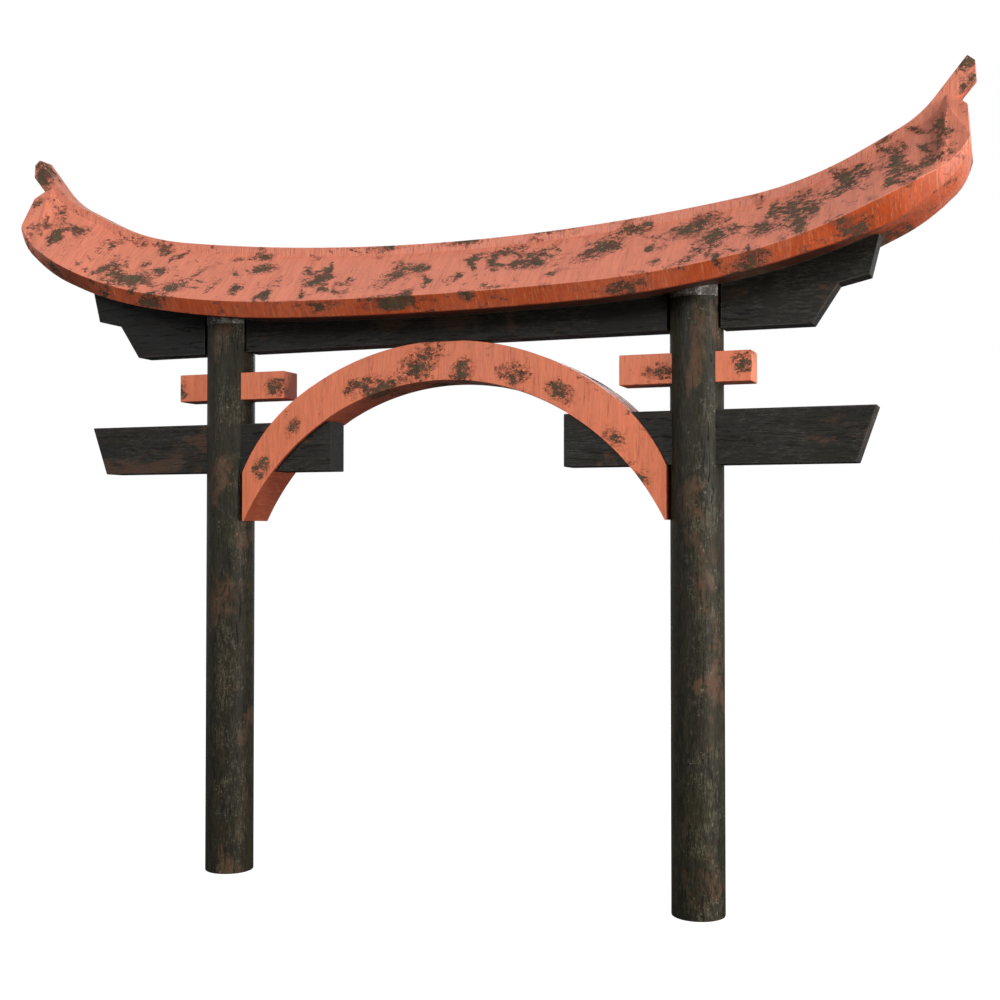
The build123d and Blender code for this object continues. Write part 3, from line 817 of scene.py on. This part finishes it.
painted = [p for p in pieces.values() if p["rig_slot"] in ("roof_paint", "red_paint")]
for piece in painted:
    at = vertex_places(piece)
    store(piece, "peeling", peeling(at))
    past_post = np.abs(at[:, 0] - MIDDLE) - HALF_SPAN
    painted_shade = np.zeros(len(at))
    if piece.name.startswith("made_soffit"):
        under = at[:, 2] < soffit_at(at[:, 0] - MIDDLE, at[:, 1]) + 0.004
        shaded_underside = under & (np.abs(at[:, 1]) < SILL_HALF_WIDTH - 0.002)
        painted_shade = np.where(shaded_underside, SOFFIT_SHADE * (1 - ease(past_post, *SOFFIT_SHADE_FADE)), 0)
    # Painted shade in the dish at the right end, stopping at its rim.
    if "slope" in piece.name or "gable" in piece.name:
        on_top = at[:, 2] > roof_corners(at[:, 0] - MIDDLE)["slope_end"][1] - 0.004
        inside = 1 - ease(past_post, GABLE_RIM - RIM_EDGE, GABLE_RIM + RIM_EDGE)
        shaded_dish = on_top & (at[:, 0] > MIDDLE)
        painted_shade = np.where(shaded_dish, DISH_SHADE * ease(past_post, *DISH_SHADE_START) * inside, 0)
    store(piece, "painted_shade", painted_shade)
# Painted shade on the upper beam, darkest at its left end.
for name, share in BEAM_SHADE.items():
    store(pieces[name], "painted_shade", np.full(len(pieces[name].data.vertices), share))
print(len(PATCHES), "patches laid on", len(painted), "painted pieces")

# %% [markdown]
# The materials share a few effects, so each effect is a node group with named inputs and outputs.
# A small helper makes a group and its sockets, and another adds nodes in one line each.

# %% Helpers for node groups


def socket(tree, label, way, kind, value=None):
    made = tree.interface.new_socket(label, in_out=way, socket_type="NodeSocket" + kind)
    if value is not None:
        made.default_value = value
    return made


def new_group(name, inputs, outputs):
    tree = bpy.data.node_groups.new(name, "ShaderNodeTree")
    for label, kind, value in inputs:
        socket(tree, label, "INPUT", kind, value)
    for label, kind in outputs:
        socket(tree, label, "OUTPUT", kind)
    return tree, tree.nodes.new("NodeGroupInput").outputs, tree.nodes.new("NodeGroupOutput").inputs


def add(tree, kind, settings=None, **values):
    """Adds a node. Values go to its sockets by name or number, and given sockets are linked."""
    node = tree.nodes.new("ShaderNode" + kind)
    for key, value in (settings or {}).items():
        setattr(node, key, value)
    for key, value in values.items():
        place = int(key[1:]) if key[1:].isdigit() and key[0] == "i" else key.replace("_", " ")
        if isinstance(value, bpy.types.NodeSocket):
            tree.links.new(value, node.inputs[place])
        else:
            node.inputs[place].default_value = value
    return node


def maths(tree, operation, a, b=0.0, c=0.0):
    return add(tree, "Math", {"operation": operation}, i0=a, i1=b, i2=c).outputs[0]


def noise(tree, vector, scale, detail=4.0, roughness=0.55, distortion=0.0):
    return add(
        tree, "TexNoise", Vector=vector, Scale=scale, Detail=detail, Roughness=roughness,
        Distortion=distortion,
    ).outputs["Fac"]


def step(tree, value, low, high):
    """0 below low, 1 above high, and smooth between."""
    return add(
        tree, "MapRange", {"interpolation_type": "SMOOTHSTEP"},
        Value=value, From_Min=low, From_Max=high,
    ).outputs[0]


def mix(tree, share, one, two, blend="MIX"):
    node = add(tree, "Mix", {"data_type": "RGBA", "blend_type": blend, "clamp_factor": True}, i0=share)
    for place, value in ((6, one), (7, two)):
        if isinstance(value, bpy.types.NodeSocket):
            tree.links.new(value, node.inputs[place])
        else:
            node.inputs[place].default_value = value
    return node.outputs[2]


def stretch(tree, vector, factors):
    return add(tree, "VectorMath", {"operation": "MULTIPLY"}, i0=vector, i1=factors).outputs[0]


print("group helpers ready")

# %% [markdown]
# Wood grain runs one way: along a beam, up a post. Stretched noise gives it: coordinates that are
# coarse along the fibres and fine across them. The group adds a slower drift, so that no two hands'
# breadths of timber look alike, and short dark checks where the surface has opened.

# %% Group: wood grain
grain_tree, g_in, g_out = new_group(
    "Wood grain",
    (("Vector", "Vector", None), ("Stretch", "Vector", (60.0, 60.0, 4.0)), ("Checks", "Float", 0.5)),
    (("Streaks", "Float"), ("Checks", "Float"), ("Drift", "Float"), ("Height", "Float")),
)
fibres = add(
    grain_tree, "VectorMath", {"operation": "MULTIPLY"}, i0=g_in["Vector"], i1=g_in["Stretch"]
).outputs[0]
fine = noise(grain_tree, fibres, 1.0, 6.0, 0.62, 0.2)
coarse = noise(grain_tree, fibres, 0.33, 3.0, 0.5, 0.6)
streaks = maths(grain_tree, "MULTIPLY_ADD", coarse, 0.45, maths(grain_tree, "MULTIPLY", fine, 0.55))
drift = noise(grain_tree, g_in["Vector"], 1.7, 3.0, 0.5)
open_grain = noise(grain_tree, fibres, 0.62, 8.0, 0.7, 0.9)
checks = maths(grain_tree, "MULTIPLY", step(grain_tree, open_grain, 0.57, 0.66), g_in["Checks"])
grain_tree.links.new(step(grain_tree, streaks, 0.36, 0.64), g_out["Streaks"])
grain_tree.links.new(checks, g_out["Checks"])
grain_tree.links.new(drift, g_out["Drift"])
grain_tree.links.new(
    maths(grain_tree, "SUBTRACT", streaks, maths(grain_tree, "MULTIPLY", checks, 0.7)),
    g_out["Height"],
)
print("grain group has", len(grain_tree.nodes), "nodes")

# %% [markdown]
# Peeled paint has three zones: sound paint, a narrow frayed rim where only the primer is left, and
# bare weathered wood. All come from one value, the patch strength on the vertices plus noise, cut at
# two levels. Further noises add hairline cracks near the patches and specks in the sound paint.

# %% Group: peeled paint
peel_tree, p_in, p_out = new_group(
    "Peeled paint",
    (
        ("Vector", "Vector", None), ("Patches", "Float", 0.0), ("Fray", "Float", 1.0),
        ("Specks", "Float", 1.0),
    ),
    (("Bare", "Float"), ("Rim", "Float"), ("Height", "Float")),
)
torn_at = stretch(peel_tree, p_in["Vector"], (0.8, 1.0, 1.15))
torn = maths(peel_tree, "SUBTRACT", noise(peel_tree, torn_at, 12.0, 14.0, 0.80, 0.15), 0.5)
crumbs = maths(peel_tree, "SUBTRACT", noise(peel_tree, torn_at, 40.0, 8.0, 0.82, 0.2), 0.5)
near = step(peel_tree, p_in["Patches"], 0.0, 0.30)
fray = maths(peel_tree, "MULTIPLY_ADD", crumbs, 3.4, maths(peel_tree, "MULTIPLY", torn, 3.8))
fray = maths(peel_tree, "MULTIPLY", maths(peel_tree, "MULTIPLY", fray, near), p_in["Fray"])
level = maths(peel_tree, "MULTIPLY_ADD", p_in["Patches"], 0.67, fray)
bare = step(peel_tree, level, 0.43, 0.49)
primer = step(peel_tree, level, 0.36, 0.44)
ridges = maths(peel_tree, "ABSOLUTE", maths(
    peel_tree, "SUBTRACT", noise(peel_tree, torn_at, 19.0, 8.0, 0.70, 0.4), 0.5
))
strings = maths(peel_tree, "SUBTRACT", 1.0, step(peel_tree, ridges, 0.004, 0.026))
by_patch = maths(peel_tree, "MULTIPLY_ADD", torn, 1.6, p_in["Patches"])
strings = maths(peel_tree, "MULTIPLY", strings, step(peel_tree, by_patch, 0.08, 0.34))
zone = step(peel_tree, noise(peel_tree, torn_at, 2.6, 4.0, 0.6), 0.36, 0.52)
flecks = noise(peel_tree, torn_at, 8.5, 14.0, 0.78, 0.3)
fewer = maths(peel_tree, "SUBTRACT", p_in["Specks"], 1.0)
flecks = maths(peel_tree, "MULTIPLY_ADD", fewer, 0.07, flecks)
specks = maths(peel_tree, "MULTIPLY", step(peel_tree, flecks, 0.554, 0.572), zone)
rim = maths(peel_tree, "MAXIMUM", maths(peel_tree, "MAXIMUM", primer, strings), specks)
fallen = maths(peel_tree, "MULTIPLY", specks, step(peel_tree, flecks, 0.592, 0.610))
bare = maths(peel_tree, "MAXIMUM", bare, fallen)
hollow = maths(peel_tree, "MULTIPLY_ADD", rim, -0.5, maths(peel_tree, "MULTIPLY", bare, -0.5))
peel_tree.links.new(bare, p_out["Bare"])
peel_tree.links.new(rim, p_out["Rim"])
peel_tree.links.new(hollow, p_out["Height"])
print("peel group has", len(peel_tree.nodes), "nodes")

# %% [markdown]
# Arrises wear first. A bevel node looks round each point for a nearby edge: where its softened normal
# differs from the true one, there is an arris. Noise breaks the mask up, because wear is never even.

# %% Group: worn edges
edge_tree, e_in, e_out = new_group(
    "Worn edges",
    (("Vector", "Vector", None), ("Reach", "Float", 0.012), ("Amount", "Float", 1.0)),
    (("Mask", "Float"),),
)
soft_normal = add(edge_tree, "Bevel", {"samples": 4}, Radius=e_in["Reach"]).outputs[0]
true_normal = edge_tree.nodes.new("ShaderNodeNewGeometry").outputs["Normal"]
aligned = add(
    edge_tree, "VectorMath", {"operation": "DOT_PRODUCT"}, i0=soft_normal, i1=true_normal
).outputs["Value"]
turned = step(edge_tree, maths(edge_tree, "SUBTRACT", 1.0, aligned), 0.01, 0.14)
ragged = noise(edge_tree, e_in["Vector"], 22.0, 6.0, 0.65)
worn = step(edge_tree, maths(edge_tree, "MULTIPLY_ADD", turned, 0.55, ragged), 0.62, 0.88)
edge_tree.links.new(
    maths(edge_tree, "MULTIPLY", maths(edge_tree, "MULTIPLY", worn, turned), e_in["Amount"]),
    e_out["Mask"],
)
print("edge group has", len(edge_tree.nodes), "nodes")

# %% [markdown]
# A material is then a recipe: coordinates, groups, mixes, one Principled shader. The
# painted timber shows its grain faintly through the paint, brush streaks run up and down, and bare
# wood is olive grey with its own grain and a dull surface.

# %% Painted timber


def new_material(name):
    material = bpy.data.materials.new(name)
    material.use_nodes = True
    tree = material.node_tree
    tree.nodes.clear()
    shader = tree.nodes.new("ShaderNodeBsdfPrincipled")
    output = tree.nodes.new("ShaderNodeOutputMaterial")
    tree.links.new(shader.outputs[0], output.inputs["Surface"])
    return material, tree, shader


def use(tree, group, **values):
    node = tree.nodes.new("ShaderNodeGroup")
    node.node_tree = group
    for key, value in values.items():
        if isinstance(value, bpy.types.NodeSocket):
            tree.links.new(value, node.inputs[key.replace("_", " ")])
        else:
            node.inputs[key.replace("_", " ")].default_value = value
    return node.outputs


def bump(tree, shader, height, distance, strength=1.0, after=None):
    node = add(tree, "Bump", Height=height, Distance=distance, Strength=strength)
    if after is not None:
        tree.links.new(after, node.inputs["Normal"])
    tree.links.new(node.outputs[0], shader.inputs["Normal"])
    return node.outputs[0]


def tinted(colour, factor):
    return tuple(min(1.0, c * factor) for c in colour[:3]) + (1.0,)


def painted_timber(name, unbleached_or_shaded, bleached, chalk, wood, primer, streaky, specks, stretch_by):
    material, tree, shader = new_material(name)
    at = tree.nodes.new("ShaderNodeTexCoord").outputs["Object"]
    facing = tree.nodes.new("ShaderNodeNewGeometry").outputs["Normal"]
    upward = add(tree, "SeparateXYZ", i0=facing).outputs[2]
    strength = add(tree, "Attribute", {"attribute_name": "peeling"}).outputs["Fac"]
    grain = use(tree, grain_tree, Vector=at, Stretch=stretch_by, Checks=1.0)
    peel = use(tree, peel_tree, Vector=at, Patches=strength, Fray=1.0, Specks=specks)
    worn = use(tree, edge_tree, Vector=at, Reach=0.010, Amount=0.3)["Mask"]
    # Faces turned down take the first colour: on the roof the unbleached vermilion, on the arch and short
    # bars SHADED_RED, painted shade on their undersides.
    coat = mix(tree, step(tree, upward, -0.4, -0.05), unbleached_or_shaded, bleached)
    faded = maths(tree, "MULTIPLY", step(tree, grain["Drift"], 0.35, 0.65), 0.25)
    coat = mix(tree, faded, coat, tinted(bleached, 1.08))
    coat = mix(tree, grain["Streaks"], mix(tree, 1.0, coat, (0.80, 0.74, 0.70, 1.0), "MULTIPLY"), coat)
    upright = maths(tree, "SUBTRACT", 1.0, step(tree, upward, 0.15, 0.5))
    scored = noise(tree, stretch(tree, at, tuple(1.8 * s for s in stretch_by)), 1.0, 5.0, 0.7, 0.3)
    share = maths(tree, "MULTIPLY_ADD", upright, 0.45 * streaky, 0.22)
    chalk = mix(tree, upright, chalk, (0.66, 0.26, 0.11, 1.0))
    coat = mix(tree, maths(tree, "MULTIPLY", step(tree, scored, 0.50, 0.68), share), coat, chalk)
    lined = noise(tree, stretch(tree, at, tuple(2.2 * s for s in stretch_by)), 1.0, 6.0, 0.75, 0.2)
    share = maths(tree, "MULTIPLY_ADD", upright, 0.75 * streaky, 0.15)
    lines = maths(tree, "MULTIPLY", step(tree, lined, 0.52, 0.62), share)
    coat = mix(tree, lines, coat, tinted(primer, 1.5))
    coat = mix(tree, maths(tree, "MULTIPLY", grain["Checks"], 0.5), coat, tinted(primer, 1.5))
    coat = mix(tree, worn, coat, tinted(bleached, 1.25))
    wood_grain = use(tree, grain_tree, Vector=at, Stretch=(55.0, 24.0, 12.0), Checks=0.6)
    bare_wood = mix(tree, wood_grain["Streaks"], tinted(wood, 0.8), tinted(wood, 1.9))
    reddened = step(tree, noise(tree, at, 17.0, 8.0, 0.75, 0.3), 0.48, 0.60)
    bare_wood = mix(tree, maths(tree, "MULTIPLY", reddened, 0.8), bare_wood, tinted(primer, 0.55))
    # Painted shade: a value on the vertices darkens the paint to near black under the roof and in the dish
    # at the right end.
    painted_shade = add(tree, "Attribute", {"attribute_name": "painted_shade"}).outputs["Fac"]
    coat = mix(tree, painted_shade, coat, (0.012, 0.007, 0.005, 1.0))
    colour = mix(tree, maths(tree, "MULTIPLY", peel["Rim"], 0.9), coat, primer)
    colour = mix(tree, maths(tree, "MULTIPLY", peel["Bare"], 0.96), colour, bare_wood)
    tree.links.new(colour, shader.inputs["Base Color"])
    rough = maths(tree, "MULTIPLY_ADD", grain["Streaks"], 0.12, 0.43)
    rough = maths(tree, "MULTIPLY_ADD", peel["Bare"], 0.3, rough)
    tree.links.new(rough, shader.inputs["Roughness"])
    shader.inputs["Specular IOR Level"].default_value = 0.42
    fibres = bump(tree, shader, grain["Height"], 0.0022, 0.6)
    bump(tree, shader, peel["Height"], 0.0016, 0.8, fibres)
    return material


VERMILION = (0.55, 0.076, 0.011, 1.0)
SHADED_RED = (0.36, 0.075, 0.036, 1.0)
BLEACHED = (0.735, 0.224, 0.134, 1.0)
ARCH_BLEACHED = (0.745, 0.190, 0.083, 1.0)
CHALK = (0.74, 0.31, 0.20, 1.0)
BARE_WOOD = (0.046, 0.034, 0.016, 1.0)
PRIMER = (0.19, 0.050, 0.027, 1.0)
roof_paint = painted_timber(
    "peeling_roof_paint", VERMILION, BLEACHED, CHALK, BARE_WOOD, PRIMER, 1.0, 1.0, (75.0, 7.0, 7.0)
)
red_paint = painted_timber(
    "peeling_arch_paint", SHADED_RED, ARCH_BLEACHED, CHALK, BARE_WOOD, PRIMER,
    0.15, 0.5, (60.0, 7.0, 7.0),
)
print("paint materials made")

# %% [markdown]
# The posts and beams are stained almost black. Under the stain the wood shows red-brown where it has
# rubbed thin, and the raised fibres have weathered to a pale olive grey, which catches the light. The
# arrises are rubbed grey too. Light and shade are painted in as well: faces turned away from the
# lamps at the right are painted darker and cooler, and the pale fibres and the brown show mostly on
# the lit side. The upper beam also takes painted shade under the roof, most at its left end.

# %% Dark stained timber


def stained_timber(name, stretch_by, stain, pale, brown, brown_share, glint_share, edge_amount):
    material, tree, shader = new_material(name)
    at = tree.nodes.new("ShaderNodeTexCoord").outputs["Object"]
    grain = use(tree, grain_tree, Vector=at, Stretch=stretch_by, Checks=1.0)
    normal = add(tree, "SeparateXYZ", i0=tree.nodes.new("ShaderNodeNewGeometry").outputs["Normal"])
    outwards = maths(tree, "ABSOLUTE", normal.outputs[1])
    facing = add(tree, "CombineXYZ", X=normal.outputs[0], Y=outwards, Z=normal.outputs[2]).outputs[0]
    # Painted highlight: the pale fibres show most on faces turned towards the lamps at the right.
    toward_highlight = add(tree, "VectorMath", {"operation": "DOT_PRODUCT"}, i0=facing, i1=HIGHLIGHT_SIDE)
    toward_highlight = step(tree, toward_highlight.outputs["Value"], 0.55, 0.98)
    short = stretch(tree, at, tuple(2.0 * s if s < 10 else 1.4 * s for s in stretch_by))
    fibres = noise(tree, short, 1.2, 8.0, 0.75, 0.3)
    raised = step(tree, fibres, 0.48, 0.60)
    weathered = step(tree, noise(tree, at, 4.2, 9.0, 0.75, 0.4), 0.44, 0.56)
    weathered = maths(tree, "MULTIPLY", weathered, maths(tree, "MULTIPLY_ADD", toward_highlight, 0.75, 0.25))
    along = stretch(tree, at, tuple(0.6 if s < 10 else 1.3 for s in stretch_by))
    rubbed = step(tree, noise(tree, along, 2.3, 8.0, 0.72, 0.3), 0.56 - brown_share, 0.64 - brown_share)
    between = maths(tree, "SUBTRACT", 1.0, step(tree, fibres, 0.46, 0.66))
    rubbed = maths(tree, "MULTIPLY", rubbed, between)
    # Painted shade: faces turned away from the lit right side are darkened and cooled, and the rubbed
    # brown keeps mostly to the lit side.
    side = add(tree, "VectorMath", {"operation": "DOT_PRODUCT"}, i0=facing, i1=LIT_SIDE)
    side = step(tree, side.outputs["Value"], 0.0, 0.55)
    rubbed = maths(tree, "MULTIPLY", rubbed, maths(tree, "MULTIPLY_ADD", side, 0.85, 0.15))
    colour = mix(tree, grain["Streaks"], tinted(stain, 0.40), tinted(stain, 1.45))
    colour = mix(tree, side, mix(tree, 1.0, colour, (0.72, 0.74, 0.80, 1.0), "MULTIPLY"), colour)
    colour = mix(tree, rubbed, colour, brown)
    pale_share = maths(tree, "MULTIPLY", raised, maths(tree, "MULTIPLY_ADD", weathered, 0.5, 0.16))
    colour = mix(tree, pale_share, colour, pale)
    glints = step(tree, noise(tree, at, 62.0, 7.0, 0.78, 0.8), 0.57, 0.63)
    glints = maths(tree, "MULTIPLY", maths(tree, "MULTIPLY", glints, weathered), glint_share)
    colour = mix(tree, glints, colour, tinted(pale, 2.2))
    checks = maths(tree, "MULTIPLY", grain["Checks"], 0.85)
    colour = mix(tree, checks, colour, (0.003, 0.003, 0.002, 1.0))
    # Painted shade: a value on the vertices darkens the upper beam, most at its left end.
    painted_shade = add(tree, "Attribute", {"attribute_name": "painted_shade"}).outputs["Fac"]
    colour = mix(tree, painted_shade, colour, (0.002, 0.002, 0.002, 1.0))
    worn = use(tree, edge_tree, Vector=at, Reach=0.012, Amount=edge_amount)["Mask"]
    colour = mix(tree, worn, colour, tinted(pale, 1.5))
    tree.links.new(colour, shader.inputs["Base Color"])
    rough = maths(tree, "MULTIPLY_ADD", grain["Streaks"], 0.14, 0.50)
    tree.links.new(rough, shader.inputs["Roughness"])
    shader.inputs["Specular IOR Level"].default_value = 0.2
    bump(tree, shader, grain["Height"], 0.0045, 0.8)
    return material


# Directions of the lit side, for the painted highlight and painted shade on posts and beams.
HIGHLIGHT_SIDE = (0.55, 0.83, 0.0)
LIT_SIDE = (0.85, 0.53, 0.0)
POST_STAIN = (0.0142, 0.0122, 0.0050, 1.0)
BEAM_STAIN = (0.0080, 0.0070, 0.0045, 1.0)
PALE_FIBRE = (0.098, 0.088, 0.058, 1.0)
GREY_FIBRE = (0.062, 0.057, 0.048, 1.0)
RUBBED_BROWN = (0.085, 0.042, 0.022, 1.0)
dark_post = stained_timber(
    "stained_post", (60.0, 60.0, 7.0), POST_STAIN, PALE_FIBRE, RUBBED_BROWN, 0.04, 0.8, 0.3
)
dark_beam = stained_timber(
    "stained_beam", (8.0, 85.0, 85.0), BEAM_STAIN, GREY_FIBRE, tinted(RUBBED_BROWN, 0.75),
    0.02, 0.25, 0.9,
)
print("stained timber made")

# %% [markdown]
# The collar is a thin grey band, scuffed bright in places and blackened in others. It could be a
# plain metal, but on the real gate dirt and wear hide most of the shine, so it is mostly a mottled
# dull surface with a little metal showing in the scuffs.

# %% Collar band, and bare timber inside the roof
collar_band, tree, shader = new_material("worn_collar_band")
at = tree.nodes.new("ShaderNodeTexCoord").outputs["Object"]
blotches = noise(tree, at, 24.0, 8.0, 0.68, 0.5)
scuffs = step(tree, noise(tree, at, 85.0, 5.0, 0.7, 0.3), 0.50, 0.64)
dirt = step(tree, blotches, 0.46, 0.60)
colour = mix(tree, dirt, (0.060, 0.050, 0.042, 1.0), (0.19, 0.175, 0.155, 1.0))
colour = mix(tree, maths(tree, "MULTIPLY", scuffs, dirt), colour, (0.62, 0.60, 0.56, 1.0))
tree.links.new(colour, shader.inputs["Base Color"])
tree.links.new(maths(tree, "MULTIPLY", scuffs, 0.35), shader.inputs["Metallic"])
tree.links.new(maths(tree, "MULTIPLY_ADD", dirt, -0.15, 0.62), shader.inputs["Roughness"])
bump(tree, shader, maths(tree, "ADD", blotches, scuffs), 0.0012, 0.6)

inner_timber, tree, shader = new_material("sawn_inner_timber")
at = tree.nodes.new("ShaderNodeTexCoord").outputs["Object"]
grain = use(tree, grain_tree, Vector=at, Stretch=(3.0, 40.0, 40.0), Checks=0.8)
colour = mix(tree, grain["Streaks"], (0.16, 0.105, 0.062, 1.0), (0.27, 0.19, 0.12, 1.0))
tree.links.new(colour, shader.inputs["Base Color"])
tree.links.new(maths(tree, "MULTIPLY_ADD", grain["Streaks"], 0.1, 0.65), shader.inputs["Roughness"])
bump(tree, shader, grain["Height"], 0.002, 0.6)
print("collar and inner timber made")

# %% [markdown]
# Each made piece takes the material of its slot. The solid timber inside the roof keeps its packed
# shape, because the boards hide it, and only gets a better material.

# %% Give the materials out
FINISHES = {
    "roof_paint": roof_paint,
    "red_paint": red_paint,
    "dark_post": dark_post,
    "dark_beam": dark_beam,
    "collar": collar_band,
}
for piece in pieces.values():
    piece.data.materials.clear()
    piece.data.materials.append(FINISHES[piece["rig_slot"]])
made = set(pieces)
for name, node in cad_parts.items():
    if name not in made:
        for place in node.material_slots:
            place.material = inner_timber
triangles = sum(sum(len(p.vertices) - 2 for p in o.data.polygons) for o in pieces.values())
kept = len(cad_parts) - len(made)
print(len(pieces), "pieces made,", kept, "kept as packed;", triangles, "triangles")

# %% [markdown]
# The camera stands in front of the gate, past its right post, 2.1 m above the ground. It is turned
# back towards the gate and looks almost level, so that the posts stay parallel. A 50 mm lens on a
# full-size sensor gives the depth of the roof's far tip without stretching it.

# %% Camera
camera_data = bpy.data.cameras.new("camera")
camera_data.lens = 50.0
camera_data.sensor_width = 36.0
camera_data.clip_end = 200.0
camera = bpy.data.objects.new("camera", camera_data)
camera.location = (MIDDLE + 3.1945, -7.646, 2.138)
camera.rotation_euler = (math.radians(90 + 1.2168), 0, math.radians(20.58))
bpy.context.scene.collection.objects.link(camera)
bpy.context.scene.camera = camera
print("camera", [round(c, 2) for c in camera.location])

# %% [markdown]
# The light is a plain studio: an even sky and four large soft lamps, one in front to the left, two at
# the right, low and high, and a faint cool one behind. Soft lamps keep the grain readable and the
# shadows open. The floor is pale and wide. What the camera sees of it is mostly its own white, with
# the gate's soft shadow laid over.

# %% Sky, lamps and floor
world = bpy.data.worlds.new("studio")
bpy.context.scene.world = world
world.use_nodes = True
tree = world.node_tree
tree.nodes.clear()
path = tree.nodes.new("ShaderNodeLightPath").outputs
seen = maths(tree, "MAXIMUM", path["Is Camera Ray"], path["Is Glossy Ray"])
seen = maths(tree, "MAXIMUM", seen, path["Is Transmission Ray"])
direction = tree.nodes.new("ShaderNodeTexCoord").outputs["Generated"]
height = add(tree, "SeparateXYZ", i0=direction).outputs[2]
open_sky = maths(tree, "MULTIPLY", step(tree, height, -0.02, 0.06), 0.32)
sky = add(tree, "Background", Color=(0.94, 0.97, 1.0, 1.0), Strength=open_sky).outputs[0]
white = add(tree, "Background", Color=(1.0, 1.0, 1.0, 1.0), Strength=1.0).outputs[0]
both = add(tree, "MixShader", i0=seen, i1=sky, i2=white).outputs[0]
tree.links.new(both, tree.nodes.new("ShaderNodeOutputWorld").inputs["Surface"])


def softbox(name, place, aim, width, height, power, colour=(1.0, 1.0, 1.0)):
    data = bpy.data.lights.new(name, "AREA")
    data.shape = "RECTANGLE"
    data.size, data.size_y = width, height
    data.energy = power
    data.color = colour
    lamp = bpy.data.objects.new(name, data)
    from_to = np.array(aim) - np.array(place)
    lamp.location = place
    lamp.rotation_euler = (
        math.atan2(math.hypot(from_to[0], from_to[1]), -from_to[2]),
        0,
        math.atan2(-from_to[0], from_to[1]),
    )
    bpy.context.scene.collection.objects.link(lamp)
    return lamp


AIM_HEIGHT = 2.4
FLOOR_RADIUS, FLOOR_SIDES = 60, 64


def around(turn, rise, distance=11.0):
    """A place round the gate: turned from its front to the right, and raised, in degrees."""
    turn, rise = math.radians(turn), math.radians(rise)
    level = distance * math.cos(rise)
    return MIDDLE + level * math.sin(turn), -level * math.cos(turn), AIM_HEIGHT + distance * math.sin(rise)


AIM = (MIDDLE, 0.0, AIM_HEIGHT)
softbox("front", around(-15, 26), AIM, 4.5, 4.5, 650.0)
softbox("right_low", around(72, -7), AIM, 5.0, 3.2, 930.0, (1.0, 0.96, 0.92))
softbox("right_high", around(84, 22), AIM, 4.0, 4.0, 560.0)
softbox("rear", around(195, 14), AIM, 4.5, 3.0, 260.0, (0.88, 0.94, 1.0))

floor_mesh = bpy.data.meshes.new("floor")
turns = np.linspace(0, 2 * math.pi, FLOOR_SIDES + 1)[:-1]
ring = [(MIDDLE + FLOOR_RADIUS * math.cos(a), FLOOR_RADIUS * math.sin(a), -0.001) for a in turns]
floor_mesh.from_pydata(ring, [], [list(range(FLOOR_SIDES))])
floor = bpy.data.objects.new("floor", floor_mesh)
bpy.context.scene.collection.objects.link(floor)
floor_white = bpy.data.materials.new("floor_white")
floor_white.use_nodes = True
tree = floor_white.node_tree
tree.nodes.clear()
path = tree.nodes.new("ShaderNodeLightPath").outputs
own_white = add(tree, "Emission", Color=(1.0, 1.0, 1.0, 1.0), Strength=0.93).outputs[0]
pale = add(tree, "BsdfDiffuse", Color=(0.3, 0.3, 0.3, 1.0)).outputs[0]
grey = add(tree, "BsdfDiffuse", Color=(0.08, 0.08, 0.08, 1.0)).outputs[0]
for_camera = add(tree, "AddShader", i0=pale, i1=own_white).outputs[0]
both = add(tree, "MixShader", i0=path["Is Camera Ray"], i1=grey, i2=for_camera).outputs[0]
tree.links.new(both, tree.nodes.new("ShaderNodeOutputMaterial").inputs["Surface"])
floor_mesh.materials.append(floor_white)
bpy.context.scene.view_settings.view_transform = "Standard"
print("lamps and floor placed")
